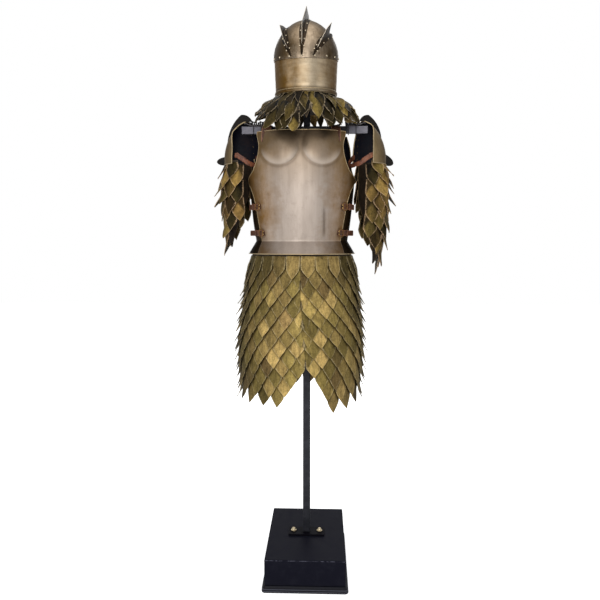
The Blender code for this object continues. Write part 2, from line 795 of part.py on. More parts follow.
def build_pauldron_fin(shop, side, kind):
    """A flat leaf-shaped blade that stands on the dome in the plane of its ridge."""
    place = shoulder_frame(side)

    def ridge(share):
        point = dome_point(0.0, share)
        return Vector((point.x, point.z))

    if kind == "top":
        shares = steps(0.62, 0.988, 7)
        tip = Vector((0.030, 0.148))
        bulge = 0.30
    else:
        shares = steps(0.0, 0.26, 4)
        tip = Vector((0.122, -0.006))
        bulge = 0.22
    foot = [ridge(share) for share in shares]
    gap = 3 * SEAM
    centre = Vector((0.0, 0.02))
    foot = [p + (p - centre).normalized() * gap for p in foot]
    first, last = foot[0], foot[-1]

    def edge(start, end):
        middle = (start + end) / 2
        outward = (middle - (first + last) / 2).normalized()
        return [
            start.lerp(end, t) + outward * bulge * (end - start).length * t * (1 - t)
            for t in (0.25, 0.5, 0.75)
        ]

    outline = foot + edge(last, tip) + [tip] + edge(tip, first)
    origin = place(Vector((0, 0, 0)))
    across = place(Vector((1, 0, 0))) - origin
    up = Vector((0, 0, 1))
    axes = Matrix((across, up, across.cross(up))).transposed().to_4x4()
    axes.translation = origin
    outline = [tuple(p) for p in outline]
    shop.plate(f"pauldron_fin_{kind}_{side}", outline, FIN_PLATE, axes, "dark fin steel")


def build_arm_strap(shop, side):
    """The strap that closes a pauldron round the inner side of the arm."""
    place = shoulder_frame(side)
    sign = 1 if side == "right" else -1
    rows = []
    reach = DOME_HALF - PLATE - 0.0020
    for up in (-0.008, 0.0, 0.008):
        row = []
        for turn in steps(math.radians(84), math.radians(276), 15):
            x = reach * 0.78 * math.cos(turn)
            y = reach * math.sin(turn)
            sag = 0.020 * max(0.0, -math.cos(turn))
            row.append(place(Vector((x, y, 0.006 + up - sag))))
        rows.append(row if sign > 0 else row[::-1])
    shop.sheet("arm_strap_" + side, rows, STRAP, "tan strap leather")


def build_bar_strap(shop, side):
    """The strap that hangs a pauldron on the shoulder bar."""
    sign = 1 if side == "right" else -1
    middle = PAULDRON_MIDDLE_X + PAULDRON_SIDE * sign
    top = BAR_Z + BAR_HEIGHT / 2 + SEAM + STRAP
    under = DOME_Z + DOME_UP - STRAP_UNDER_CROWN
    path = [
        (middle - 0.052 * sign, top),
        (middle - 0.036 * sign, top),
        (middle - 0.020 * sign, top + 0.0005),
        (middle - 0.006 * sign, (top + under) / 2),
        (middle + 0.004 * sign, under),
        (middle + 0.010 * sign, under - 0.0025),
    ]
    rows = [[Vector((x, y, z)) for x, z in path] for y in (-0.009, 0.0, 0.009)]
    if sign < 0:
        rows = [row[::-1] for row in rows]
    shop.sheet("bar_strap_" + side, rows, STRAP, "tan strap leather")


def sleeve_surface(side):
    """The right or left sleeve: a tube that is open towards the body."""
    place = shoulder_frame(side)
    sign = 1 if side == "right" else -1

    def surface(u, row):
        share = 2 * u / SLEEVE_COLUMNS - 1
        turn = SLEEVE_SPAN * share * sign
        down = max(row, 0.0)
        step = SLEEVE_ROW if row >= 0 else SLEEVE_TUCK / 2
        height = SLEEVE_TOP - DOME_Z - step * row
        flare = min(1.0, down / 2)
        radius = SLEEVE_NECK + (SLEEVE_RADIUS - SLEEVE_NECK) * flare
        centre = SLEEVE_MIDDLE + 0.0080 * flare - 0.0012 * down
        return place(Vector((centre + radius * math.cos(turn), radius * math.sin(turn), height)))

    return surface


def build_sleeve(shop, side, full_rows):
    """A hanging sleeve of scales that narrows to a point."""
    wall = ScaleWall(sleeve_surface(side), SLEEVE_COLUMNS, closed=False, lift=0.0018)
    half = SLEEVE_COLUMNS

    def present(column, row):
        return abs(column - half) <= half - max(0, row - full_rows)

    points, faces = wall.build(present)
    shop.raw("scale_sleeve_" + side, points, faces, "olive leather scales")


def skirt_surface(side):
    """One half of the skirt, from the front seam to the back seam."""
    sign = 1 if side == "right" else -1

    def surface(u, row):
        around = u if sign > 0 else SKIRT_COLUMNS - u
        turn = math.pi * around / SKIRT_COLUMNS * sign
        tucked = min(1.0, max(0.0, -row / 2))
        height = SKIRT_TOP - SKIRT_ROW * max(row, 0.0) + (SKIRT_TUCK_Z - SKIRT_TOP) * tucked
        section = smooth(SKIRT, height)
        point = oval(turn, section.half_width, section.front, section.back)
        point = point.lerp(torso_point(SKIRT_TUCK_Z, turn, SKIRT_TUCK_IN), tucked)
        point.x += sign * SEAM * 2 - SKIRT_LEAN * (SKIRT_TOP - min(height, SKIRT_TOP)) / SKIRT_LENGTH
        point.z = height
        return point

    return surface


def build_skirt(shop, frame, side):
    """A skirt panel of scales. Its hem rises to the split at the middle of the front."""
    sign = 1 if side == "right" else -1
    wall = ScaleWall(skirt_surface(side), SKIRT_COLUMNS, closed=False)

    def present(half, row):
        around = half if sign > 0 else 2 * SKIRT_COLUMNS - half
        lowest = 10 + around if around <= 4 else 14
        return row + 2 <= lowest

    points, faces = wall.build(present)
    shop.raw("scale_skirt_" + side, points, faces, "olive leather scales", frame)


def main():
    """Build the stand first, then the suit from the helmet down."""
    clear_scene()
    shop = Workshop()
    build_stand(shop)
    helmet = shop.empty("helmet_frame", (HELMET_X, 0, 0), HELMET_TURN)
    build_helmet(shop, helmet)
    build_aventail(shop, helmet)
    cuirass = shop.empty("cuirass_frame", (HANG_X, 0, 0))
    build_cuirass(shop, cuirass)
    for side in (-1, 1):
        build_shoulder_strap(shop, cuirass, side)
    for side in ("left", "right"):
        build_side_strap(shop, cuirass, side, "upper", 1.245, 48, 78, 0.004)
        build_side_strap(shop, cuirass, side, "lower", 1.160, 46, 84, 0.020)
        build_pauldron(shop, side)
        build_arm_strap(shop, side)
        build_bar_strap(shop, side)
    build_sleeve(shop, "left", 4)
    build_sleeve(shop, "right", 6)
    for side in ("left", "right"):
        build_skirt(shop, cuirass, side)


main()
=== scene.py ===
"""A suit of plate armour with leather leaves on its iron and wood stand, dressed for rendering.

Metres, +Z up. The suit faces -Y and +X is on the right of someone who looks at its front. Every
new piece is a surface worked out with numpy from the part's own sizes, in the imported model's frame.
A turn round an oval is 0 at the middle of the front and grows towards +X.
"""

import logging
import math
from dataclasses import dataclass, field
from enum import Enum
from typing import Callable, Sequence

import bpy
import numpy as np
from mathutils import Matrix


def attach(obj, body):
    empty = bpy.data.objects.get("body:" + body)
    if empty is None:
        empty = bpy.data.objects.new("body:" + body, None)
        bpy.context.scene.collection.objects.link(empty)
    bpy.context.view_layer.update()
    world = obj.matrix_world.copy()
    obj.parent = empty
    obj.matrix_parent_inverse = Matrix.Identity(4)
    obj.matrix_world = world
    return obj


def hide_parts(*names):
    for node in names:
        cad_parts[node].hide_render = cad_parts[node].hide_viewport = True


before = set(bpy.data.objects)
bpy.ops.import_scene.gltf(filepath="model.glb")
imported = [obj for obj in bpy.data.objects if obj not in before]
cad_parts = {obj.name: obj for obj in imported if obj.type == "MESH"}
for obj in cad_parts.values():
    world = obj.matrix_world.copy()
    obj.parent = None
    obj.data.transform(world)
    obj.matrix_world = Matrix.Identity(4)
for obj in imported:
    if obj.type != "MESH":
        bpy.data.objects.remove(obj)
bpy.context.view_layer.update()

LOG = logging.getLogger("armour")
Points = np.ndarray
Surface = Callable[[Points, Points], Points]
Rule = Callable[[Points], Points]
Colour = tuple[float, float, float]
Socket = bpy.types.NodeSocket
Value = float | Socket
RIGHTWARD, BACKWARD, UP = np.eye(3)
BAR_TOP = 1.51425 + 0.0003 + 0.0030  # the outside of a strap that lies on the shoulder bar


class Side(Enum):
    """The two sides of the suit, as someone sees them who looks at its front."""

    LEFT = -1
    RIGHT = 1

    @property
    def word(self) -> str:
        """The side's name, as the nodes spell it."""
        return self.name.lower()


class Slot(Enum):
    """The record's material slots, named for each new piece as it is dressed."""

    PLATE = "plate"
    FIN = "fin"
    SCALES = "scales"
    STRAP = "strap"
    BRASS = "brass"
    WOOD = "wood"


# ---------------------------------------------------------------- curves and surfaces


def table(*rows: tuple) -> field:
    """A dataclass field that holds rows as an array."""
    return field(default_factory=lambda: np.array(rows))


def smooth(rows: Points, place: Points) -> Points:
    """Read a table of rows at any place, on a curve through the rows.

    Between two rows each column is a cubic whose end slopes are those of the chords through
    the neighbouring rows, and places past an end take the end's row.

    Args:
        rows: Rows sorted by their first column.
        place: Values of the first column, of any shape.

    Returns:
        The rows, with the table's columns along a last new axis.
    """
    place = np.clip(np.asarray(place, float), rows[0, 0], rows[-1, 0])
    last = len(rows) - 1
    at = np.clip(np.searchsorted(rows[:, 0], place, side="right") - 1, 0, last - 1)
    before, low, high, after = (rows[np.clip(at + step, 0, last)] for step in (-1, 0, 1, 2))
    span = high[..., :1] - low[..., :1]
    t = (place[..., None] - low[..., :1]) / span
    leave = (high - before) / (high[..., :1] - before[..., :1]) * span
    arrive = (after - low) / (after[..., :1] - low[..., :1]) * span
    rise = high - low
    return low + leave * t + (3 * rise - 2 * leave - arrive) * t**2 + (leave + arrive - 2 * rise) * t**3


def signed_power(value: Points, exponent: float) -> Points:
    """A power of the size that keeps the sign."""
    return np.sign(value) * np.abs(value) ** exponent


def oval(turn: Points, side: Points, front: Points, back: Points, square: float = 1.0) -> Points:
    """Points round an oval: the signed powers of sine and cosine, times its half width and depth.

    Args:
        turn: Angle from the middle of the front.
        side: Half width.
        front: Depth before the middle.
        back: Depth behind the middle.
        square: The power; below 1 gives fuller corners.

    Returns:
        Points with x and y along a last axis.
    """
    sine, cosine = np.sin(turn), np.cos(turn)
    depth = np.where(cosine > 0, front, back)
    return np.stack([side * signed_power(sine, square), -depth * signed_power(cosine, square)], -1)


def cycle(count: int) -> Points:
    """Angles spread evenly round a circle."""
    return 2 * np.pi * np.arange(count) / count


def ease(value: Points, low: float, high: float) -> Points:
    """A smooth step: 0 below low, 1 above high, and a cubic between."""
    t = np.clip((value - low) / (high - low), 0.0, 1.0)
    return t * t * (3 - 2 * t)


def hill(value: Points, middle: float, width: float) -> Points:
    """A bell curve: 1 at its middle, falling off by the square of the distance over the width."""
    return np.exp(-(((value - middle) / width) ** 2))


def dense_ends(count: int, share: float) -> Points:
    """Values from 0 to 1, closer together near both ends by a share of cosine spacing."""
    even = np.linspace(0.0, 1.0, count)
    return (1 - share) * even + share * 0.5 * (1 - np.cos(np.pi * even))


def xyz(x: Points, y: Points, z: Points) -> Points:
    """Points from their three coordinates, which are spread over each other."""
    return np.stack(np.broadcast_arrays(x, y, z), -1)


def lifted(flat: Points, z: Points) -> Points:
    """Flat points (x, y) with a height each."""
    return xyz(flat[..., 0], flat[..., 1], z)


def unit(vectors: Points) -> Points:
    """Vectors of length 1."""
    return vectors / np.maximum(np.linalg.norm(vectors, axis=-1, keepdims=True), 1e-12)


def run_length(path: Points) -> Points:
    """How far along a path each of its points lies."""
    return np.concatenate([[0], np.cumsum(np.linalg.norm(np.diff(path, axis=0), axis=1))])


def resampled(path: Points, count: int) -> Points:
    """A path run through again on a smooth curve, with evenly spread points."""
    run = run_length(np.asarray(path, float))
    return smooth(np.column_stack([run, path]), np.linspace(0, run[-1], count))[:, 1:]


def grid_normals(grid: Points, closed: bool = False) -> Points:
    """Outward directions of a grid: its step to the right crossed with its step up.

    Args:
        grid: Points by row and column; columns run to the right seen from outside, rows go up.
        closed: Whether the last column meets the first.

    Returns:
        A unit vector for each point.
    """
    around = np.roll(grid, -1, axis=1) - np.roll(grid, 1, axis=1) if closed else np.gradient(grid, axis=1)
    return unit(np.cross(around, np.gradient(grid, axis=0)))


def border_distance(grid: Points, closed: bool = False) -> Points:
    """How far each point of a grid lies from its nearest border, along its rows and columns.

    Args:
        grid: Outer points by row and column.
        closed: Whether the last column meets the first.

    Returns:
        A distance for each point.
    """

    def from_ends(axis: int) -> Points:
        """Length run along one axis from the nearer end.

        Args:
            axis: 0 for up, 1 for along.

        Returns:
            A length for each point.
        """
        steps = np.linalg.norm(np.diff(grid, axis=axis), axis=-1)
        run = np.insert(np.cumsum(steps, axis=axis), 0, 0.0, axis=axis)
        return np.minimum(run, np.take(run, [-1], axis=axis) - run)

    return from_ends(0) if closed else np.minimum(from_ends(0), from_ends(1))


# ---------------------------------------------------------------- meshes


@dataclass
class Form:
    """Points, faces and point values of one piece while it is put together."""

    points: list[Points] = field(default_factory=list)
    faces: list[Points] = field(default_factory=list)
    finishes: list[Points] = field(default_factory=list)
    values: dict[str, list[Points]] = field(default_factory=dict)
    count: int = 0

    def add(self, points: Points, faces: Sequence[tuple[Points, int]], **values: Points) -> None:
        """Add points with faces over them.

        Args:
            points: The points, in any grid shape.
            faces: Pairs of an index array, three or four to a face, and a finish number.
            values: One number, or one for each point, by attribute name.
        """
        points = np.asarray(points, float).reshape(-1, 3)
        for corners, finish in faces:
            self.faces.append(np.asarray(corners, int) + self.count)
            self.finishes.append(np.full(len(corners), finish))
        for name in sorted(set(self.values) | set(values)):
            rows = self.values.setdefault(name, [np.zeros(self.count)])
            rows.append(np.broadcast_to(np.ravel(values.get(name, 0.0)), len(points)))
        self.points.append(points)
        self.count += len(points)

    def mesh(self, name: str, sharp: float = 38.0) -> bpy.types.Mesh:
        """The finished mesh, smooth but for edges steeper than an angle in degrees.

        Args:
            name: Its name.
            sharp: The angle in degrees.

        Returns:
            The mesh.
        """
        mesh = bpy.data.meshes.new(name)
        sizes = np.concatenate([np.full(len(face), face.shape[1]) for face in self.faces])
        corners = np.concatenate([face.ravel() for face in self.faces])
        starts = np.cumsum(sizes) - sizes
        for owner, label, count, numbers, kind in (
            (mesh.vertices, "co", self.count, np.concatenate(self.points).ravel(), np.float32),
            (mesh.loops, "vertex_index", len(corners), corners, np.int32),
            (mesh.polygons, "loop_start", len(sizes), starts, np.int32),
            (mesh.polygons, "material_index", 0, np.concatenate(self.finishes), np.int32),
        ):
            if count:
                owner.add(count)
            owner.foreach_set(label, numbers.astype(kind))
        for label, rows in self.values.items():
            attribute = mesh.attributes.new(label, "FLOAT", "POINT")
            attribute.data.foreach_set("value", np.concatenate(rows).astype(np.float32))
        mesh.update(calc_edges=True)
        mesh.validate()
        mesh.shade_smooth()
        mesh.set_sharp_from_angle(angle=math.radians(sharp))
        return mesh


def grid_faces(rows: int, columns: int, closed: bool = False) -> Points:
    """Four corners of each cell of a grid, anticlockwise seen from outside.

    Args:
        rows: How many rows.
        columns: How many columns.
        closed: Whether the last column meets the first.

    Returns:
        Point numbers by cell.
    """
    level, k = np.meshgrid(np.arange(rows - 1), np.arange(columns if closed else columns - 1), indexing="ij")
    a, b = level * columns + k, level * columns + (k + 1) % columns
    return np.stack([a, b, b + columns, a + columns], -1).reshape(-1, 4)


def border_edges(rows: int, columns: int, closed: bool = False) -> Points:
    """Pairs of neighbouring border points, in the direction the cells beside them run.

    Args:
        rows: How many rows.
        columns: How many columns.
        closed: Whether the last column meets the first.

    Returns:
        Pairs of point numbers.
    """
    index = np.arange(rows * columns).reshape(rows, columns)
    low, high = index[0], index[-1][::-1]
    loops = [low, high] if closed else [np.concatenate([low, index[1:, -1], high[1:], index[-2:0:-1, 0]])]
    return np.concatenate([np.stack([loop, np.roll(loop, -1)], -1) for loop in loops])


def fan(ring: Points, tip: int) -> Points:
    """Triangles from each step along a closed ring of point numbers to a tip."""
    return np.stack([ring, np.roll(ring, -1), np.full(len(ring), tip)], -1)


@dataclass(frozen=True)
class Faces:
    """Finish numbers of a wall's outside, inside and rim."""

    outside: int = 0
    inside: int = 0
    rim: int = 0


METAL = Faces(0, 1, 0)
LEAF = Faces(0, 1, 2)


def add_walls(
    form: Form, outer: Points, inner: Points, faces: Faces = Faces(), closed: bool = False, **values: Points
) -> None:
    """Add closed walls: an outer grid each, an inner grid turned inwards, and the rim between them.

    Args:
        form: Takes the walls.
        outer: Outer points by wall, row and column.
        inner: Inner points, one behind each outer point.
        faces: The finishes.
        closed: Whether the last column meets the first.
        values: Point values of the outer grids, which the inner grids repeat.
    """
    count, rows, columns = outer.shape[:3]
    number = rows * columns
    cells = grid_faces(rows, columns, closed)
    start, end = border_edges(rows, columns, closed).T
    rim = np.stack([end, start, start + number, end + number], -1)
    parts = ((cells, faces.outside), (cells[:, ::-1] + number, faces.inside), (rim, faces.rim))
    first = np.arange(count)[:, None, None] * 2 * number
    both = {name: np.broadcast_to(value, (count, rows, columns)) for name, value in values.items()}
    form.add(
        np.concatenate([outer.reshape(count, -1, 3), inner.reshape(count, -1, 3)], 1),
        [((part + first).reshape(-1, 4), finish) for part, finish in parts],
        **{name: np.tile(value.reshape(count, -1), 2) for name, value in both.items()},
    )


def add_wall(
    form: Form, outer: Points, inner: Points, faces: Faces = Faces(), closed: bool = False, **values: Points
) -> None:
    """Add one wall as add_walls does, its columns turned round where it would face inwards.

    Args:
        form: Takes the faces.
        outer: Outer points.
        inner: Inner points, one behind each outer point.
        faces: The finishes.
        closed: Whether the last column meets the first.
        values: Point values of the outer grid.
    """
    if np.sum(grid_normals(outer, closed) * (outer - inner)) < 0:
        outer, inner = outer[:, ::-1], inner[:, ::-1]
        values = {name: value[:, ::-1] for name, value in values.items()}
    add_walls(form, outer[None], inner[None], faces, closed, **values)


def add_shell(
    form: Form, grid: Points, thickness: float, faces: Faces = Faces(), closed: bool = False,
    worn: float = 0.003, **values: Points,
) -> None:
    """Add a wall of one thickness, which lies behind its outer grid.

    Args:
        form: Takes the wall.
        grid: Outer points by row and column.
        thickness: How thick the wall is.
        faces: The finishes.
        closed: Whether the last column meets the first.
        worn: How wide the worn strip along the border is.
        values: Further point values.
    """
    inner = grid - grid_normals(grid, closed) * thickness
    near = np.clip(1 - border_distance(grid, closed) / worn, 0, 1)
    add_wall(form, grid, inner, faces, closed, worn=near, **values)


def add_rings(form: Form, grid: Points, ends: Points, finish: int = 0, **values: Points) -> None:
    """Add rings joined into a skin, closed by a point at each end.

    Args:
        form: Takes the skin.
        grid: Points by ring and round it.
        ends: The point below the first ring and the one above the last.
        finish: The finish number.
        values: Point values, the same all over.
    """
    index = np.arange(grid.shape[0] * grid.shape[1]).reshape(grid.shape[:2])
    faces = (grid_faces(*index.shape, True), fan(index[0][::-1], index.size), fan(index[-1], index.size + 1))
    form.add(np.concatenate([grid.reshape(-1, 3), ends]), [(face, finish) for face in faces], **values)


def add_tube(
    form: Form, path: Points, lean: Points, radius: Points, sides: int = 8, closed: bool = False,
    finish: int = 0, flat: float = 1.0, **values: Points,
) -> None:
    """Add a round bead along a path: circles square to the path, with a point at each open end.

    Args:
        form: Takes the bead.
        path: Points along it.
        lean: A direction across the path, one or one for each point.
        radius: One radius or one for each point.
        sides: Points round it.
        closed: Whether its end meets its start.
        finish: The finish number.
        flat: How far it reaches along lean, against its radius.
        values: Point values, the same all over.
    """
    count, radius = len(path), np.broadcast_to(radius, len(path))[:, None, None]
    along = unit(np.roll(path, -1, 0) - np.roll(path, 1, 0) if closed else np.gradient(path, axis=0))
    across = unit(np.cross(along, np.broadcast_to(lean, path.shape)))
    out, angle = np.cross(across, along), cycle(sides)[:, None]
    grid = path[:, None] + radius * (flat * np.cos(angle) * out[:, None] + np.sin(angle) * across[:, None])
    if closed:
        form.add(grid, [(grid_faces(count + 1, sides, True) % (count * sides), finish)], **values)
    else:
        ends = np.stack([path[0] - along[0] * radius[0, 0], path[-1] + along[-1] * radius[-1, 0]])
        add_rings(form, grid, ends, finish, **values)


def add_turned(
    form: Form, centre: Points, axis: Points, profile: Points, ends: Points, sides: int, finish: int = 0
) -> None:
    """Add a turned shape: a profile carried round an axis.

    Args:
        form: Takes the shape.
        centre: Where its foot stands.
        axis: Which way it points.
        profile: Rows of (radius, height).
        ends: The heights of its two end points on the axis.
        sides: Points round it.
        finish: The finish number.
    """
    first = unit(np.cross(UP if abs(axis[2]) < 0.8 else RIGHTWARD, axis))
    angle = cycle(sides)
    circle = np.outer(np.cos(angle), first) + np.outer(np.sin(angle), np.cross(axis, first))
    grid = centre + circle * profile[:, :1, None] + axis * profile[:, 1:, None]
    add_rings(form, grid, centre + np.outer(ends, axis), finish)


# a stud's profile as (share of its radius, share of its height), and where its ends are closed
STUD = np.array([(1.0, -0.35), (1.0, 0.18), (0.86, 0.55), (0.52, 0.88)])
STUD_ENDS = np.array([-0.35, 1.0])


def add_beads(form: Form, grid: Points, *runs: tuple[object, float, float]) -> None:
    """Add beads along lines of a wall's outer grid: pairs of rows and columns, a radius and how worn.

    Args:
        form: Takes the faces.
        grid: Outer points by row and column.
        runs: For each line: its rows and columns, the radius and the worn value.
    """
    normal = grid_normals(grid)
    for line, radius, worn in runs:
        add_tube(form, grid[line], normal[line], radius, finish=2, worn=worn)


def add_studs(
    form: Form, centres: Points, outward: Points, radius: float, height: float, finish: int
) -> None:
    """Add a domed rivet of a radius and height on each centre, pointing outward."""
    for centre, axis in zip(centres.reshape(-1, 3), unit(outward.reshape(-1, 3))):
        add_turned(form, centre, axis, STUD * (radius, height), STUD_ENDS * height, 10, finish)


def add_strap(form: Form, path: Points, across: Points, width: float, thickness: float) -> None:
    """Add a leather strap: a strip along a path, a little rounded over its width, with soft edges.

    Args:
        form: Takes the strap.
        path: Points along its outer face.
        across: The direction of its width, such that path crossed with it faces outwards.
        width: Its width.
        thickness: Its thickness.
    """
    side = unit(np.broadcast_to(across, path.shape))
    normal = unit(np.cross(np.gradient(path, axis=0), side))
    share = np.linspace(-1, 1, 7)[:, None]
    flat = path + side * (share * width / 2)[..., None]
    outer = flat - normal * (thickness * 0.38 * np.abs(share) ** 6)[..., None]
    add_wall(form, outer, flat - normal * thickness, worn=np.abs(share) ** 4)


# ---------------------------------------------------------------- shader effects


def tint(colour: Colour) -> tuple[float, float, float, float]:
    """A colour from its 0 to 255 screen values, made linear.

    Args:
        colour: Red, green and blue.

    Returns:
        Linear red, green and blue, and an alpha of 1.
    """
    share = np.array(colour) / 255
    linear = np.where(share <= 0.04045, share / 12.92, ((share + 0.055) / 1.055) ** 2.4)
    return (*(float(v) for v in linear), 1.0)


class Wiring:
    """Adds nodes to one shader tree and joins them."""

    def __init__(self, tree: bpy.types.NodeTree, effects: "Effects | None" = None) -> None:
        """Keep the tree and the shared effects."""
        self.tree, self.effects = tree, effects

    def feed(self, node: bpy.types.Node, inputs: dict) -> bpy.types.Node:
        """Give a node its inputs by name or number: sockets are joined, plain values set.

        Args:
            node: The node.
            inputs: The values.

        Returns:
            The node.
        """
        for name, value in inputs.items():
            if isinstance(value, Socket):
                self.tree.links.new(value, node.inputs[name])
            else:
                node.inputs[name].default_value = value
        return node

    def node(self, kind: str, inputs: dict | None = None, **settings: object) -> bpy.types.Node:
        """Add a node.

        Args:
            kind: Its type, without the common prefix.
            inputs: Values or sockets by input name or number.
            settings: Its own properties.

        Returns:
            The node.
        """
        made = self.tree.nodes.new("ShaderNode" + kind)
        for name, value in settings.items():
            setattr(made, name, value)
        return self.feed(made, inputs or {})

    @property
    def place(self) -> Socket:
        """The piece's Object coordinates."""
        return self.node("TexCoord").outputs["Object"]

    def axes(self) -> bpy.types.NodeOutputs:
        """The Object coordinates one by one."""
        return self.node("SeparateXYZ", {"Vector": self.place}).outputs

    def value(self, name: str) -> Socket:
        """A point value of the piece."""
        return self.node("Attribute", attribute_name=name).outputs["Fac"]

    def stretch(self, scale: Sequence[float]) -> Socket:
        """Object coordinates scaled along each axis."""
        return self.node("Mapping", {"Vector": self.place, "Scale": tuple(scale)}).outputs["Vector"]

    def noise(self, vector: Socket, scale: Value, detail: float, rough: float = 0.55) -> Socket:
        """Soft noise from 0 to 1."""
        inputs = {"Vector": vector, "Scale": scale, "Detail": detail, "Roughness": rough}
        return self.node("TexNoise", inputs).outputs["Fac"]

    def remap(self, value: Socket, low: float, high: float, first: float = 0.0, last: float = 1.0) -> Socket:
        """A value moved from one range to another and kept inside it."""
        inputs = {"Value": value, "From Min": low, "From Max": high, "To Min": first, "To Max": last}
        return self.node("MapRange", inputs, clamp=True).outputs["Result"]

    def math(self, kind: str, first: Value, second: Value = 0.0, clamp: bool = False) -> Socket:
        """One step of arithmetic on two values."""
        return self.node("Math", {0: first, 1: second}, operation=kind, use_clamp=clamp).outputs[0]

    def times(self, first: Value, second: Value) -> Socket:
        """The product of two values."""
        return self.math("MULTIPLY", first, second)

    def plus(self, first: Value, second: Value) -> Socket:
        """The sum of two values."""
        return self.math("ADD", first, second)

    def away(self, value: Socket, middle: float) -> Socket:
        """How far a value is from a middle one."""
        return self.math("ABSOLUTE", self.math("SUBTRACT", value, middle))

    def blend(self, share: Value, first: Socket | Colour, second: Socket | Colour) -> Socket:
        """Two colours mixed."""
        first, second = (value if isinstance(value, Socket) else tint(value) for value in (first, second))
        return self.node("Mix", {0: share, 6: first, 7: second}, data_type="RGBA").outputs[2]

    def bump(self, height: Socket, strength: float, distance: float, normal: Socket | None = None) -> Socket:
        """A normal that follows a height, over an earlier normal if there is one."""
        inputs = {"Height": height, "Strength": strength, "Distance": distance}
        return self.node("Bump", inputs | ({"Normal": normal} if normal else {})).outputs["Normal"]

    def effect(self, name: str, **inputs: Value) -> bpy.types.NodeOutputs:
        """The outputs of a shared effect, worked out over the Object coordinates."""
        return self.node("Group", {"Vector": self.place} | inputs, node_tree=self.effects[name]).outputs

    def stains(self, scale: float, low: float, high: float) -> Socket:
        """The mask of uneven stains."""
        return self.effect("uneven stains", Scale=scale, Low=low, High=high)["Mask"]

    def bare(self, value: str, reach: float) -> Socket:
        """The mask of bare edges, from the point value that grows towards them."""
        return self.effect("bare edges", Worn=self.value(value), Reach=reach)["Mask"]


Effects = dict[str, bpy.types.NodeTree]
Draw = Callable[[Wiring, dict[str, Socket]], dict[str, Socket]]


def draw_stains(w: Wiring, given: dict[str, Socket]) -> dict[str, Socket]:
    """Uneven stains: two sizes of noise added and cut between two levels.

    Args:
        w: Adds the nodes.
        given: The group's inner inputs by name.

    Returns:
        The group's outputs by name.
    """
    large = w.noise(given["Vector"], given["Scale"], 5.0, 0.6)
    small = w.noise(given["Vector"], w.times(given["Scale"], 3.7), 3.0, 0.6)
    return {"Mask": w.remap(w.plus(w.times(large, 0.7), w.times(small, 0.3)), given["Low"], given["High"])}


def draw_brushing(w: Wiring, given: dict[str, Socket]) -> dict[str, Socket]:
    """Brushed streaks: noise over coordinates that the finish has shortened along the streaks.

    Args:
        w: Adds the nodes.
        given: The group's inner inputs by name.

    Returns:
        The group's outputs by name.
    """
    broad = w.noise(given["Vector"], w.times(given["Fineness"], 60.0), 4.0, 0.6)
    fine = w.noise(given["Vector"], w.times(given["Fineness"], 420.0), 3.0, 0.65)
    return {"Mask": w.remap(w.plus(w.times(broad, 0.8), w.times(fine, 0.2)), 0.34, 0.66), "Height": fine}


def draw_edge_wear(w: Wiring, given: dict[str, Socket]) -> dict[str, Socket]:
    """Bare edges: the border value, broken up by noise.

    Args:
        w: Adds the nodes.
        given: The group's inner inputs by name.

    Returns:
        The group's outputs by name.
    """
    broken = w.math("SUBTRACT", w.noise(given["Vector"], 160.0, 4.0, 0.65), 0.5)
    start = w.math("SUBTRACT", 1.0, given["Reach"])
    return {"Mask": w.remap(w.plus(given["Worn"], w.times(broken, 0.7)), start, w.plus(start, 0.35))}


def draw_grain(w: Wiring, given: dict[str, Socket]) -> dict[str, Socket]:
    """Pores and creases: cells whose borders sink, roughened by noise.

    Args:
        w: Adds the nodes.
        given: The group's inner inputs by name.

    Returns:
        The group's outputs by name.
    """
    cells = w.node("TexVoronoi", {"Vector": given["Vector"], "Scale": given["Scale"]}, feature="F1")
    rough = w.noise(given["Vector"], w.times(given["Scale"], 0.35), 4.0, 0.6)
    return {"Mask": rough, "Height": w.plus(w.times(cells.outputs["Distance"], 0.5), rough)}


def effect_group(name: str, draw: Draw, **defaults: float) -> bpy.types.NodeTree:
    """Make one shared effect.

    Args:
        name: Its name.
        draw: Makes its outputs by name from a wiring and its inner inputs by name.
        defaults: Its inputs besides the vector.

    Returns:
        The node group.
    """
    tree = bpy.data.node_groups.new(name, "ShaderNodeTree")
    tree.interface.new_socket(name="Vector", in_out="INPUT", socket_type="NodeSocketVector")
    for label, default in defaults.items():
        made = tree.interface.new_socket(name=label, in_out="INPUT", socket_type="NodeSocketFloat")
        made.default_value = default
    source = tree.nodes.new("NodeGroupInput")
    wiring = Wiring(tree)
    results = draw(wiring, {socket.name: socket for socket in source.outputs if socket.name})
    for label in results:
        tree.interface.new_socket(name=label, in_out="OUTPUT", socket_type="NodeSocketFloat")
    wiring.feed(tree.nodes.new("NodeGroupOutput"), results)
    return tree


# ---------------------------------------------------------------- finishes


@dataclass(frozen=True)
class Finish:
    """What every finish has: a name and the way it becomes a material."""

    name: str

    def material(self, effects: Effects) -> bpy.types.Material:
        """The Blender material, its shader fed by the finish's own colouring.

        Args:
            effects: The shared effects by name.

        Returns:
            The material.
        """
        made = bpy.data.materials.new(self.name)
        made.use_nodes = True
        wiring = Wiring(made.node_tree, effects)
        wiring.feed(made.node_tree.nodes["Principled BSDF"], self.inputs(wiring))
        return made

    def inputs(self, w: Wiring) -> dict[str, object]:
        """The shader's inputs, as sockets or plain values."""
        raise NotImplementedError


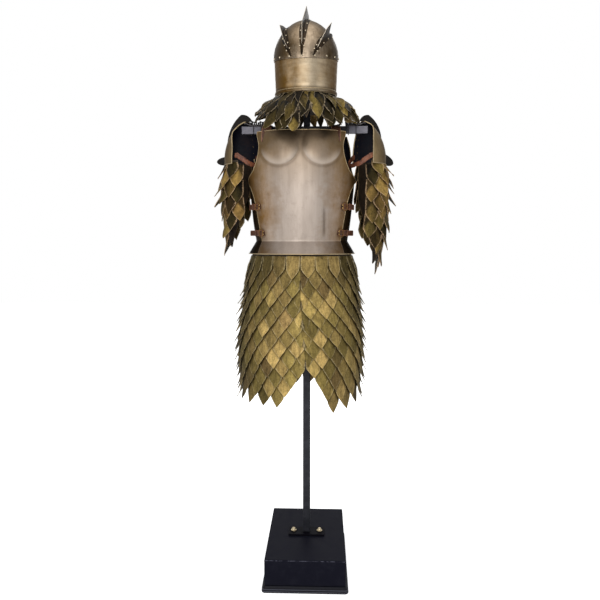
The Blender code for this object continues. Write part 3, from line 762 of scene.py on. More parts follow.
@dataclass(frozen=True)
class BronzePlate(Finish):
    """Brushed steel with a bronze patina, pale in the middle and olive and orange at the sides: partly
    patina, partly a painted highlight down the middle and painted shade towards the sides.
    """

    pale: Colour = (186, 172, 160)
    side: Colour = (138, 104, 60)
    dark: Colour = (70, 52, 32)
    middle: float = -0.017
    inner: float = 0.045
    outer: float = 0.150
    rough: float = 0.48
    streaks: tuple = (1.0, 1.0, 0.07)
    spotted: float = 0.30
    low: float = 0.0
    high: float = 0.0
    lines: float = 0.30
    fineness: float = 1.0
    rubbed: Colour = (222, 206, 190)
    # colour of the painted shade towards the top, from high less 0.17 up to high
    smoked: Colour = (122, 98, 62)

    def inputs(self, w: Wiring) -> dict[str, object]:
        """Mix the tones by the distance from the middle line, stains and streaks.

        Args:
            w: Adds the nodes.

        Returns:
            The shader's inputs, as sockets or plain values.
        """
        axes, lip = w.axes(), w.value("lip")
        stains, spots = w.stains(11.0, 0.38, 0.66), w.stains(45.0, 0.52, 0.72)
        brushed = w.effect("brushed streaks", Vector=w.stretch(self.streaks), Fineness=self.fineness)
        wander = w.times(w.math("SUBTRACT", stains, 0.5), 0.05)
        # the pale middle is partly a painted highlight from the front light and the olive sides partly
        # painted shade; the rest is patina
        share = w.remap(w.plus(w.away(axes["X"], self.middle), wander), self.inner, self.outer)
        base = w.blend(share, self.pale, self.side)
        base = w.blend(w.times(brushed["Mask"], self.lines), base, self.dark)
        base = w.blend(w.times(spots, self.spotted), base, self.dark)
        if self.low:
            base = w.blend(w.remap(axes["Z"], self.low - 0.002, self.low, 0.36, 0.0), base, self.dark)
        # painted shade: darker towards the top, under the collar on the breastplate and towards the crown on
        # the skull
        if self.high:
            base = w.blend(w.remap(axes["Z"], self.high - 0.17, self.high, 0.0, 0.74), base, self.smoked)
        # worn edges and the painted highlights of the lip value turn towards the rubbed colour, and its
        # painted shade, below 0, towards the dark one
        bare = w.math("MAXIMUM", w.times(w.bare("worn", 0.5), 0.35), w.times(lip, 0.55))
        base = w.blend(bare, base, self.rubbed)
        base = w.blend(w.math("MULTIPLY", lip, -0.7, True), base, self.dark)
        rough = w.remap(brushed["Mask"], 0.0, 1.0, self.rough - 0.05, self.rough + 0.09)
        return {
            "Base Color": base,
            "Metallic": 1.0,
            "Roughness": w.plus(rough, w.times(spots, 0.10)),
            "Normal": w.bump(stains, 0.25, 0.0012, w.bump(brushed["Height"], 0.25, 0.00025)),
        }


@dataclass(frozen=True)
class DarkSteel(Finish):
    """Blackened steel of the blades, with warm stains, rubbed bright along its edges."""

    base: Colour = (56, 51, 44)
    bright: Colour = (214, 200, 180)
    warm: Colour = (92, 74, 50)
    rough: float = 0.42
    reach: float = 0.55

    def inputs(self, w: Wiring) -> dict[str, object]:
        """Dark base with warm stains and bright broken edges.

        Args:
            w: Adds the nodes.

        Returns:
            The shader's inputs, as sockets or plain values.
        """
        stains = w.stains(40.0, 0.40, 0.66)
        return {
            "Base Color": w.blend(
                w.bare("worn", self.reach), w.blend(w.times(stains, 0.7), self.base, self.warm), self.bright
            ),
            "Metallic": 0.9,
            "Roughness": w.remap(stains, 0.0, 1.0, self.rough - 0.06, self.rough + 0.14),
            "Normal": w.bump(w.effect("pores and creases", Scale=420.0)["Height"], 0.25, 0.0004),
        }


@dataclass(frozen=True)
class DarkInside(Finish):
    """The blue-black paint inside the plates, with faint rust where it has rubbed."""

    base: Colour = (14, 15, 27)
    rust: Colour = (58, 38, 32)

    def inputs(self, w: Wiring) -> dict[str, object]:
        """Blue-black with faint rust.

        Args:
            w: Adds the nodes.

        Returns:
            The shader's inputs, as sockets or plain values.
        """
        stains = w.stains(30.0, 0.50, 0.75)
        return {
            "Base Color": w.blend(w.times(stains, 0.5), self.base, self.rust),
            "Roughness": w.remap(stains, 0.0, 1.0, 0.50, 0.75),
            "Normal": w.bump(w.effect("pores and creases", Scale=300.0)["Height"], 0.3, 0.0005),
            "Specular IOR Level": 0.22,
        }


@dataclass(frozen=True)
class LeafLeather(Finish):
    """The leaves' stiff leather: each its own tone, rubbed pale at its cut edge, with painted shade where the
    leaves above cover it.
    """

    gold: Colour = (222, 188, 116)
    olive: Colour = (172, 150, 84)
    brown: Colour = (166, 128, 92)
    pale: Colour = (222, 202, 156)
    deep: Colour = (38, 27, 12)
    edge: float = 0.60
    shadow: float = 0.66
    reach: float = 0.20

    def inputs(self, w: Wiring) -> dict[str, object]:
        """Mix hues by the leaf's own numbers, shade by how far it is covered.

        Args:
            w: Adds the nodes.

        Returns:
            The shader's inputs, as sockets or plain values.
        """
        hue, tone = w.value("hue"), w.value("tone")
        base = w.blend(w.remap(hue, 0.0, 0.55), self.gold, self.olive)
        base = w.blend(w.remap(hue, 0.72, 1.0, 0.0, 0.5), base, self.brown)
        streaks = w.remap(w.noise(w.stretch((1.0, 1.0, 0.14)), 130.0, 3.0, 0.6), 0.38, 0.66, 0.0, 0.36)
        stains = w.plus(w.times(w.stains(50.0, 0.35, 0.68), 0.38), streaks)
        base = w.blend(stains, base, self.deep)
        # painted shade: darker along the edges where the leaves above overlap this one
        below = w.math("SUBTRACT", w.value("down"), w.value("across"))
        base = w.blend(w.remap(below, 0.0, 0.24 + 0.3 * self.shadow**3, self.shadow, 0.0), base, self.deep)
        grain = w.effect("pores and creases", Scale=650.0)
        base = w.blend(w.remap(grain["Mask"], 0.42, 0.72, 0.0, 0.35), base, self.deep)
        spread = w.node("CombineXYZ", {"X": tone, "Y": tone, "Z": tone}).outputs["Vector"]
        toned = w.node("VectorMath", {0: base, 1: spread}, operation="MULTIPLY").outputs["Vector"]
        return {
            "Base Color": w.blend(w.times(w.bare("across", self.reach), self.edge), toned, self.pale),
            "Metallic": 0.45,
            "Roughness": w.remap(grain["Mask"], 0.3, 0.7, 0.42, 0.62),
            "Normal": w.bump(stains, 0.3, 0.0012, w.bump(grain["Height"], 0.35, 0.0004)),
            "Specular IOR Level": 0.12,
        }


@dataclass(frozen=True)
class PlainLeather(Finish):
    """Backing and straps: one leather with grain, creases and rubbed edges."""

    base: Colour = (106, 64, 42)
    dark: Colour = (44, 26, 18)
    rubbed: Colour = (168, 116, 84)
    rough: float = 0.55

    def inputs(self, w: Wiring) -> dict[str, object]:
        """Stains and creases darken the leather, and its edges are rubbed.

        Args:
            w: Adds the nodes.

        Returns:
            The shader's inputs, as sockets or plain values.
        """
        grain = w.effect("pores and creases", Scale=800.0)
        base = w.blend(w.stains(60.0, 0.36, 0.66), self.base, self.dark)
        return {
            "Base Color": w.blend(w.times(w.bare("worn", 0.45), 0.7), base, self.rubbed),
            "Roughness": w.remap(grain["Mask"], 0.3, 0.7, self.rough - 0.08, self.rough + 0.12),
            "Normal": w.bump(grain["Height"], 0.45, 0.0004),
        }


@dataclass(frozen=True)
class Brass(Finish):
    """Aged brass of bolts, buckles and rivets."""

    base: Colour = (214, 182, 122)
    dark: Colour = (96, 70, 38)
    rough: float = 0.30

    def inputs(self, w: Wiring) -> dict[str, object]:
        """Tarnish in stains over the metal.

        Args:
            w: Adds the nodes.

        Returns:
            The shader's inputs, as sockets or plain values.
        """
        stains = w.stains(130.0, 0.42, 0.66)
        return {
            "Base Color": w.blend(w.times(stains, 0.6), self.base, self.dark),
            "Metallic": 1.0,
            "Roughness": w.remap(stains, 0.0, 1.0, self.rough, self.rough + 0.25),
            "Normal": w.bump(stains, 0.2, 0.0004),
        }


@dataclass(frozen=True)
class BlackLacquer(Finish):
    """The plinth's black lacquer over open-grained wood, with a broken pale line along its front top edge,
    partly wear and partly painted highlight.
    """

    base: Colour = (24, 24, 33)
    dust: Colour = (44, 44, 52)
    # heights of pale lines that paint highlights along the moulding's beads
    beads: tuple = ()
    gloss: float = 0.015
    front: float = 0.2045
    top: float = 0.1073
    rubbed: Colour = (108, 108, 122)
    # colour of the painted bead highlights
    beaded: Colour = (84, 85, 96)

    def inputs(self, w: Wiring) -> dict[str, object]:
        """Wood grain shows as fine lines, with a little dust on it.

        Args:
            w: Adds the nodes.

        Returns:
            The shader's inputs, as sockets or plain values.
        """
        axes, dust = w.axes(), w.stains(40.0, 0.48, 0.72)
        base = w.blend(w.times(dust, 0.30), self.base, self.dust)
        # a broken pale line along the front top edge: partly wear, partly painted highlight
        front = w.remap(axes["Y"], -self.front, 0.001 - self.front, 1.0, 0.0)
        upper = w.remap(axes["Z"], self.top - 0.0040, self.top - 0.0026)
        base = w.blend(w.times(w.stains(70.0, 0.46, 0.56), w.times(front, upper)), base, self.rubbed)
        # painted highlights: pale lines at the given heights, where the moulding's beads catch the light
        for height in self.beads:
            base = w.blend(w.remap(w.away(axes["Z"], height), 0.0006, 0.0016, 0.62, 0.0), base, self.beaded)
        return {
            "Base Color": base,
            "Roughness": w.remap(dust, 0.0, 1.0, 0.50, 0.66),
            "Normal": w.bump(w.noise(w.stretch((12.0, 1.2, 12.0)), 30.0, 4.0, 0.6), 0.20, 0.0005),
            "Specular IOR Level": self.gloss,
        }


@dataclass(frozen=True)
class SatinIron(Finish):
    """The stand's painted iron, rubbed grey here and there, with painted shade along the middle where the
    suit hangs over it.
    """

    base: Colour = (24, 25, 32)
    rubbed: Colour = (78, 78, 86)
    share: float = 0.35
    rough: float = 0.46
    # half width of the middle painted dark as shade, 0 for none
    kept: float = 0.0
    # colour of that painted shade
    covered: Colour = (22, 18, 20)

    def inputs(self, w: Wiring) -> dict[str, object]:
        """Paint with rubbed stains and a faint orange-peel surface.

        Args:
            w: Adds the nodes.

        Returns:
            The shader's inputs, as sockets or plain values.
        """
        peel = w.effect("pores and creases", Scale=240.0)
        base = w.blend(w.times(w.stains(28.0, 0.45, 0.72), self.share), self.base, self.rubbed)
        # painted shade: the middle of the bar, in the shadow of the collar and straps, is painted dark
        if self.kept:
            away = w.away(w.axes()["X"], -0.0075)
            base = w.blend(w.remap(away, self.kept - 0.012, self.kept), self.covered, base)
        return {
            "Base Color": base,
            "Metallic": 0.35,
            "Roughness": w.remap(peel["Mask"], 0.3, 0.7, self.rough - 0.06, self.rough + 0.10),
            "Normal": w.bump(peel["Height"], 0.18, 0.0004),
        }


@dataclass(frozen=True)
class PaleFloor(Finish):
    """A white studio floor with the faintest unevenness, as bright far away as the white behind it."""

    base: Colour = (246.987, 246.987, 246.987)
    second: Colour = (243.445, 243.445, 243.445)
    near: float = 0.25
    far: float = 1.6

    def inputs(self, w: Wiring) -> dict[str, object]:
        """Two near whites in soft noise, which glow more to the eye the farther from the suit.

        Args:
            w: Adds the nodes.

        Returns:
            The shader's inputs, as sockets or plain values.
        """
        away = w.node("VectorMath", {0: w.place}, operation="LENGTH").outputs["Value"]
        seen = w.node("LightPath").outputs["Is Camera Ray"]
        return {
            "Base Color": w.blend(w.noise(w.place, 3.0, 2.0), self.base, self.second),
            "Roughness": 0.85,
            "Specular IOR Level": 0.1,
            "Emission Color": (1.0, 1.0, 1.0, 1.0),
            "Emission Strength": w.times(w.remap(away, self.near, self.far, 0.62, 1.0), seen),
        }


class Workshop:
    """Makes the materials once, and turns forms into pieces that ride on the frame."""

    def __init__(self) -> None:
        """Build the effects and every finish."""
        effects = {
            "uneven stains": effect_group("uneven stains", draw_stains, Scale=18.0, Low=0.35, High=0.65),
            "brushed streaks": effect_group("brushed streaks", draw_brushing, Fineness=1.0),
            "bare edges": effect_group("bare edges", draw_edge_wear, Worn=0.0, Reach=0.6),
            "pores and creases": effect_group("pores and creases", draw_grain, Scale=500.0),
        }
        finishes = (
            BronzePlate(
                "bronzed breastplate", low=1.134, high=1.455, lines=0.18, fineness=0.5, inner=0.055,
                outer=0.148, spotted=0.10,
            ),
            # a darker copy of the bronze, as painted shade: the backplate's sides lie in shade behind the
            # breastplate
            BronzePlate("bronzed backplate", (84, 66, 44), (58, 44, 28), (26, 20, 14), low=1.134),
            BronzePlate(
                "bronzed helmet", (202, 184, 156), (132, 98, 46), (60, 44, 22), 0.014, 0.006, 0.088, 0.44,
                (0.12, 0.12, 1.0),
            ),
            BronzePlate(
                "bronzed skull", (200, 180, 156), (98, 78, 52), (26, 20, 14), 0.002, 0.004, 0.075, 0.38,
                spotted=0.9, high=1.872, lines=0.5,
            ),
            BronzePlate(
                "bronzed shoulders", (164, 142, 106), (112, 88, 54), (48, 36, 22), 0.0, 0.20, 0.30, 0.44
            ),
            DarkSteel("dark blade steel"),
            DarkSteel("dark flange steel", (46, 38, 29), (120, 102, 76), (84, 64, 42), 0.45, 0.40),
            DarkSteel("black leaf steel", (34, 33, 33), (120, 112, 100), (52, 44, 36), 0.50, 0.30),
            DarkSteel("rubbed rim steel", (92, 74, 48), (196, 174, 136), (110, 88, 56), 0.40, 0.55),
            DarkInside("blue-black inside"),
            LeafLeather("olive leaf leather"),
            LeafLeather(
                "dark leaf leather", (150, 122, 74), (108, 92, 50), (98, 72, 46), (228, 206, 158),
                (20, 14, 8), 0.95, 0.9,
            ),
            LeafLeather(
                "sleeve leaf leather", (190, 152, 84), (142, 122, 64), (142, 98, 58), (222, 186, 146),
                (24, 16, 9), 0.88, 0.85, 0.22,
            ),
            LeafLeather(
                "collar leaf leather", (200, 168, 90), (150, 128, 62), (134, 90, 60), (206, 184, 150),
                (16, 11, 7), 0.78, 0.95, 0.19,
            ),
            PlainLeather("dark backing leather", (64, 48, 30), (30, 22, 14), (110, 88, 54), 0.65),
            PlainLeather("tan strap leather"),
            PlainLeather("pale arm leather", (150, 88, 58), (54, 30, 22), (206, 150, 112), 0.5),
            PlainLeather("black strap leather", (40, 34, 35), (18, 15, 17), (88, 80, 80), 0.5),
            Brass("aged brass"),
            Brass("dull buckle brass", (150, 112, 68), (58, 38, 24), 0.36),
            Brass("pale bolt brass", (236, 220, 184), (120, 92, 56), 0.36),
            Brass("pale rivet steel", (222, 206, 178), (112, 92, 64), 0.28),
            BlackLacquer("black lacquered wood"),
            BlackLacquer("black moulding lacquer", (14, 14, 21), (34, 34, 44), (0.0112, 0.0048), 0.18),
            BlackLacquer("black painted foot", (15, 14, 20), (28, 25, 34)),
            SatinIron("satin black iron"),
            SatinIron("dull black iron", (9, 9, 12), (24, 23, 30), 0.3, 0.62),
            SatinIron("grey rubbed iron", (92, 90, 98), (140, 136, 140), 0.5, 0.42, 0.150),
            PaleFloor("pale studio floor"),
        )
        self.materials = {finish.name: finish.material(effects) for finish in finishes}

    def piece(
        self, name: str, form: Form, finishes: Sequence[str], nodes: Sequence[str] = (),
        sharp: float = 38.0,
    ) -> bpy.types.Object:
        """Turn a form into a piece.

        Args:
            name: The piece's name.
            form: Its points and faces.
            finishes: Materials by finish number.
            nodes: CAD nodes that it stands for.
            sharp: Edges steeper than this many degrees stay sharp.

        Returns:
            The object, riding on the frame.
        """
        mesh = form.mesh(name, sharp)
        for finish in finishes:
            mesh.materials.append(self.materials[finish])
        made = bpy.data.objects.new(name, mesh)
        bpy.context.scene.collection.objects.link(made)
        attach(made, "root")
        if nodes:
            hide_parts(*nodes)
        LOG.info("%s: %d faces, stands for %s", name, len(mesh.polygons), list(nodes) or "no node")
        return made

    def dressed(self, node: str, form: Form, slot: Slot, *finishes: str, sharp: float = 38.0) -> None:
        """Turn a form into the piece that stands for one CAD node and has its name."""
        self.piece(node + "_dressed", form, finishes, (node,), sharp)

    def dress(self, node: str, finish: str) -> None:
        """Give a CAD node that stays its own material.

        Args:
            node: The node.
            finish: The finish's name.
        """
        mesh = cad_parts[node].data
        mesh.materials.clear()
        mesh.materials.append(self.materials[finish])
        LOG.info("%s: kept, %s", node, finish)


# ---------------------------------------------------------------- leaves

# how far down a leaf its rows of points lie, from tip to covered top, and its half width there
LEAF_STEPS = np.array([2.0, 1.76, 1.45, 1.12, 0.8, 0.35, -0.3])[:, None]
LEAF_WIDTH = np.maximum(0.985 * (1 - np.clip(LEAF_STEPS - 1, 0, 1) ** 1.25), 0.03)


@dataclass
class LeafField:
    """Overlapping pointed leaves sewn in rows on a leather wall.

    A leaf's head is at (half column, row) of a diamond lattice. Over the leaf, s runs from its
    covered top at -0.3 to its tip at 2 and a from -1 to 1 over its width. Its half width is 1 down
    to s = 1 and then narrows to the tip. It lies on the wall's surface, raised by a slope that
    keeps it above the leaves below, with its own small turn, cup and curl.
    """

    surface: Surface
    seed: int
    lift: float
    curl: float
    wild: float
    tones: tuple[float, float]
    sway: float = 0.055
    length: float = 1.0
    cup: float = 1.0
    short: float = 0.96
    # how far painted light makes one half of each leaf lighter and the other darker
    fold: float = 0.12
    medial: float = 0.0
    thickness: float = 0.0022
    part: Rule = lambda at: np.zeros(len(at))
    spikes: Rule = lambda at: np.zeros(len(at))
    shade: Rule = lambda at: np.ones(len(at))

    def build(self, form: Form, heads: Points, spans: Points) -> None:
        """Add every leaf.

        Args:
            form: Takes the leaves.
            heads: The leaves' heads, as (half column, row).
            spans: For each leaf, the part of -1 to 1 over its width that exists.
        """
        chance = np.random.default_rng(self.seed)
        s, (half, row), (low, high) = LEAF_STEPS, heads.T[..., None, None], spans.T[..., None, None]

        def own(least: float, most: float) -> Points:
            """One random number for each leaf."""
            return chance.uniform(least, most, len(heads))[:, None, None]

        def by(rule: Rule) -> Points:
            """A rule's number for each leaf."""
            return rule(heads)[:, None, None]

        a = low + (high - low) * np.linspace(0.0, 1.0, 5)
        wide = a * LEAF_WIDTH * own(0.95, 1.03)
        sway = own(-1, 1) * self.sway
        reach = s * own(self.short, 1.0 + 0.10 * self.wild) * self.length
        whole = high - low > 1.5
        apart = by(self.part) * np.sign(low + high) * np.clip(reach - 1, 0, 1)
        u = (half + wide + np.where(whole, sway * reach, apart)) / 2
        at = row + reach - np.where(whole, sway * a * 0.6, 0.0)
        small = 0.03
        right = self.surface(u + small, at) - self.surface(u - small, at)
        up = self.surface(u, at - small) - self.surface(u, at + small)
        outward = unit(np.cross(right, up))
        below = np.maximum(reach - 0.75, 0.0)
        curl = (self.curl * own(-0.2, 1.6) * self.wild + by(self.spikes)) * below**1.6
        cup = own(-0.0016, 0.0010) * self.wild * self.cup * wide**2 * np.clip(reach, 0, 1)
        twist = own(-0.0014, 0.0014) * self.wild * self.cup * wide * below
        toward = np.sign(self.medial) * wide
        side = abs(self.medial) * toward * ease(reach, 0.0, 0.8)
        raised = 0.0010 + self.lift * (reach + 0.3) + curl + cup + twist + side
        raised = np.maximum(raised, 0.0004 + 0.0008 * (reach + 0.3))
        inner = self.surface(u, at) + outward * raised[..., None]
        thin = self.thickness * (1 - 0.55 * np.clip(-toward, 0, 1))
        # tone: random by leaf, times painted light that makes one half lighter and the other darker, times
        # the shade rule
        tone = own(*self.tones) * (1 + self.fold * own(-1, 1) * np.clip(2 * a, -1, 1)) * by(self.shade)
        add_walls(
            form, inner + outward * thin[..., None], inner, LEAF,
            tone=tone, hue=own(0.0, 1.0), across=np.abs(a), down=s + np.where(row < 0, 2.0, 0.0),
        )


def lattice(halves: int, last: int, keep: Callable[[Points, Points], Points]) -> Points:
    """Heads of a diamond lattice whose half column and row add up to an even number.

    Args:
        halves: The last half column.
        last: The last row; the first is -1.
        keep: Says which (half column, row) is kept.

    Returns:
        The kept heads, with half column and row along the last axis.
    """
    row, half = np.mgrid[-1 : last + 1, 0 : halves + 1].reshape(2, -1)
    kept = ((half + row) % 2 == 0) & keep(half, row)
    return np.stack([half[kept], row[kept]], -1).astype(float)


@dataclass(frozen=True)
class Scales:
    """A leather backing with leaves: its names, and the sheet's sizes and support."""

    what: str
    node: str
    flat: tuple[float, float]
    area: float
    rests_on: str
    leather: str
    thickness: float = 0.0018

    def build(
        self, shop: Workshop, grid: Points, leaves: LeafField, heads: Points, spans: Points | None = None,
        closed: bool = False,
    ) -> None:
        """Build the backing and its leaves.

        Args:
            shop: Makes the pieces.
            grid: The backing's outer points.
            leaves: The leaves.
            heads: Their heads.
            spans: The part of its width that each leaf has, if some aren't whole.
            closed: Whether the backing's last column meets its first.
        """
        form = Form()
        add_shell(form, grid, self.thickness, closed=closed)
        lining = ("dark backing leather",)
        wall = shop.piece(self.what.format("backing"), form, lining, (self.node,))
        form = Form()
        leaves.build(form, heads, np.tile([-1.0, 1.0], (len(heads), 1)) if spans is None else spans)
        finishes = (self.leather, "dark leaf leather", self.leather)
        scales = shop.piece(self.what.format("leaves"), form, finishes)


# ---------------------------------------------------------------- helmet


@dataclass(frozen=True)
class Blade:
    """A riveted blade on the helmet: its foot, roll and turn in degrees, its outline as (back, rise)."""

    name: str
    foot: float
    roll: float
    yaw: float
    front_rise: float
    tip: tuple[float, float]
    shoulder: tuple[float, float]
    heel: float
    pairs: int


def ruled(low: Points, top: Points, count: int) -> tuple[Points, Points]:
    """Flat points of a blade, ruled from its foot to its outline, and how far each is from the outline."""
    v = dense_ends(count, 0.6)[:, None]
    return low + (top - low) * v[..., None], np.linalg.norm(top - low, axis=-1) * (1 - v)


@dataclass
class Helmet:
    """A round helmet: a band with a rolled rim, a domed skull riveted over it, three blades."""

    place_x: float = -0.003
    turn: float = math.radians(-4.8)
    side: float = 0.1065
    front: float = 0.1235
    seam_z: float = 1.723
    seam_slope: float = 0.148
    rim_z: float = 1.6105
    rim_slope: float = 0.0625
    band_top: float = 0.1040
    band_rim: float = 0.0995
    overlap: float = 0.015
    crown_z: float = 1.853
    power: float = 1.8
    round: float = 0.55
    roll: float = 0.0035
    roll_middle: float = 0.0525
    plate: float = 0.0016
    blade_turn: float = math.radians(-3.6)
    blade_half: float = 0.0012
    clear: float = 0.993
    flange: Points = table(
        (0.00125, 0.0060), (0.0018, 0.0060), (0.0021, 0.0034), (0.0042, 0.0017), (0.010, 0.0013),
        (0.0132, 0.0013), (0.0135, 0.0002),
    )
    blades: tuple[Blade, ...] = (
        Blade("helmet_fin_centre", 0.0, 0.0, 0.0, 0.0915, (0.086, 0.167), (0.124, 0.149), 0.165, 6),
        Blade("helmet_fin_left", -22.5, -25.0, -10.0, 0.050, (0.032, 0.108), (0.078, 0.119), 0.118, 5),
        Blade("helmet_fin_right", 22.5, 28.0, 0.0, 0.078, (0.022, 0.105), (0.060, 0.077), 0.105, 5),
    )

    def placed(self, points: Points) -> Points:
        """Points of the helmet's own frame, turned and put where it stands.

        Args:
            points: The points.

        Returns:
            Points in the suit's frame.
        """
        cosine, sine = math.cos(self.turn), math.sin(self.turn)
        x, y = points[..., 0], points[..., 1]
        return xyz(x * cosine - y * sine + self.place_x, x * sine + y * cosine, points[..., 2])

    def seam(self, y: Points) -> Points:
        """The height of the skull's lower edge, which drops to the front."""
        return self.seam_z + self.seam_slope * y

    def reach(self, x: Points, y: Points) -> Points:
        """How far places lie from the middle, against the skull's oval."""
        return np.hypot(x / self.side, y / self.front)

    def skull_height(self, x: Points, y: Points) -> Points:
        """The outer surface's height: the share of the way to the crown that x and y leave.

        Args:
            x: Places across.
            y: Places from front to back.

        Returns:
            A height for each place.
        """
        inside = np.maximum(0.0, 1.0 - np.minimum(self.reach(x, y), 1.0) ** (1 / self.round))
        foot = self.seam(y) + self.overlap
        return foot + (self.crown_z - foot) * inside ** (1 / self.power)

    def misfit(self, points: Points) -> Points:
        """How far points are off the skull: the power of the rise plus that of the reach, less 1.

        Args:
            points: The points.

        Returns:
            A number for each point, 0 on the skull.
        """
        x, y, z = np.moveaxis(points, -1, 0)
        foot = self.seam(y) + self.overlap
        share = np.maximum(0.0, (z - foot) / (self.crown_z - foot))
        return share**self.power + self.reach(x, y) ** (1 / self.round) - 1

    def slope(self, points: Points) -> Points:
        """The misfit's gradient, by small differences.

        Args:
            points: The points.

        Returns:
            A gradient for each point.
        """
        small = 1e-5
        rises = [self.misfit(points + axis) - self.misfit(points - axis) for axis in np.eye(3) * small]
        return np.stack(rises, -1) / (2 * small)

    def onto_skull(self, points: Points) -> tuple[Points, Points]:
        """Points moved along the gradient until they lie on the skull, and the directions out.

        Args:
            points: The points.

        Returns:
            Points on the skull, and unit vectors.
        """
        for _ in range(8):
            slope = self.slope(points)
            length = np.maximum(np.sum(slope**2, axis=-1, keepdims=True), 1e-9)
            points = points - slope * self.misfit(points)[..., None] / length
        return points, unit(self.slope(points))

    def band_points(self, share: Points, out: Points, turn: Points) -> Points:
        """The band: an oval that widens a little from the rim to the seam.

        Args:
            share: 0 at the rim and 1 at the seam.
            out: How far the rolled rim stands out.
            turn: Angles round it.

        Returns:
            Points by share and turn.
        """
        out, share = out[:, None], share[:, None]
        past, share = np.maximum(0.0, share - 1.0), np.minimum(share, 1.0)
        side = self.band_rim + (self.band_top - self.band_rim) * share - past * 0.006
        deep = side * (self.front / self.side) + out
        flat = oval(turn, side + out, deep, deep)
        low, high = self.rim_z + self.rim_slope * flat[..., 1], self.seam(flat[..., 1])
        return lifted(flat, low + (high - low) * share + past * self.overlap)

    def add_rivets(
        self, form: Form, centres: Points, outward: Points, radius: float, height: float, lift: float = 0.0
    ) -> None:
        """Add pale rivets on places of the helmet's own frame, lifted a little outward."""
        axes = self.placed(centres + outward) - self.placed(centres)
        add_studs(form, self.placed(centres + outward * lift), axes, radius, height, 2)

    def build_band(self, shop: Workshop) -> None:
        """The band, with its rim rolled over a wire and a light line on each side of the roll.

        Args:
            shop: Makes the pieces.
        """
        turns = cycle(132)
        curve = np.linspace(0.0, np.pi, 9)
        rolled = self.roll_middle - self.roll_middle * np.cos(curve)
        share = np.concatenate([rolled, [0.118, 0.15], np.linspace(0.2, 1.0, 20), [1.4, 1.8]])
        out = np.concatenate([self.roll * np.sin(curve) ** 0.7, [-0.0003], np.zeros(23)])
        grid = self.placed(self.band_points(share, out, turns))
        inner = grid - grid_normals(grid, True) * self.plate
        inner[:11] = self.placed(self.band_points(share[:11], np.full(11, -self.plate), turns))
        # the rolled rim and the strip just above it are painted darker through the lip value
        ridge, darker_roll = hill(share, self.roll_middle, 0.03) * 0.35, np.where(share < 0.16, -0.65, 0.0)
        form = Form()
        add_wall(form, grid, inner, METAL, closed=True, worn=ridge[:, None], lip=darker_roll[:, None])
        for level, radius in ((0.004, 0.0011), (0.112, 0.0009)):
            path = self.placed(self.band_points(np.array([level]), np.array([0.0006]), turns)[0])
            lean = unit(path - np.array([self.place_x, 0, self.rim_z]))
            add_tube(form, path, lean, radius, closed=True, finish=2, worn=1.0)
        shop.dressed(
            "helmet_band", form, Slot.PLATE, "bronzed helmet", "blue-black inside", "rubbed rim steel"
        )

    def build_skull(self, shop: Workshop) -> None:
        """The skull: the oval drawn in by a power of the rise and closed at the crown, with seam rivets.

        Args:
            shop: Makes the pieces.
        """
        flat = oval(cycle(132), self.side, self.front, self.front)
        share = np.sin(np.linspace(0, np.pi / 2, 46)[:-1])
        rings = flat * ((1 - share**self.power) ** self.round)[:, None, None]
        rings = lifted(rings, self.skull_height(rings[..., 0], rings[..., 1]))
        upright = lifted(flat, self.seam(flat[:, 1]) + np.linspace(0, 1, 6)[:-1, None] * self.overlap)
        grid = np.concatenate([upright, rings, rings[-1:] * 0.02 + self.crown_z * UP * 0.98])
        normal = grid_normals(grid, True)
        normal[-2:] = UP
        inner = grid - normal * self.plate
        worn = np.where(np.arange(len(grid)) == 0, 0.8, 0.0)[:, None]
        form = Form()
        add_wall(form, self.placed(grid), self.placed(inner), METAL, closed=True, worn=worn)
        ring = np.arange(len(flat))
        for edge, depth, order, finish in ((grid[-1], 0.0, ring, 0), (inner[-1], self.plate, ring[::-1], 1)):
            cap = np.vstack([edge, UP * (self.crown_z - depth)])
            form.add(self.placed(cap), [(fan(order, len(ring)), finish)])
        flat = oval(cycle(16), self.side, self.front, self.front)
        out = unit(lifted(flat / (self.side**2, self.front**2), 0.0))
        self.add_rivets(form, lifted(flat, self.seam(flat[:, 1]) + 0.0065), out, 0.0036, 0.0024)
        shop.dressed(
            "helmet_skull", form, Slot.PLATE, "bronzed skull", "blue-black inside", "pale rivet steel"
        )

    def blade_frame(self, blade: Blade) -> tuple[Points, Points, Points, Points]:
        """A blade's foot, its direction back, its rise and its side, in the helmet's frame.

        Args:
            blade: The blade.

        Returns:
            Foot, back, rise and side.
        """
        x, y = oval(np.radians(blade.foot), self.side, self.front, self.front) * 0.9995
        turn, roll = self.blade_turn + math.radians(blade.yaw), math.radians(blade.roll)
        back = np.array([-math.sin(turn), math.cos(turn), 0.0])
        level = np.array([math.cos(turn), math.sin(turn), 0.0])
        rise = level * math.sin(roll) + UP * math.cos(roll)
        return np.array([x, y, self.skull_height(x, y)]), back, rise, np.cross(back, rise)

    def surface_rise(self, blade: Blade, distance: Points) -> Points:
        """How far up a blade the skull's surface lies, found by halving.

        Args:
            blade: The blade.
            distance: How far back along the blade.

        Returns:
            A rise for each distance.
        """
        foot, back, rise, _ = self.blade_frame(blade)
        low, high = np.full(distance.shape, -0.06), np.full(distance.shape, 0.30)
        for _ in range(34):
            middle = (low + high) / 2
            point = foot + back * distance[..., None] + rise * middle[..., None]
            over = point[..., 2] > self.skull_height(point[..., 0] * self.clear, point[..., 1] * self.clear)
            high, low = np.where(over, middle, high), np.where(over, low, middle)
        return high

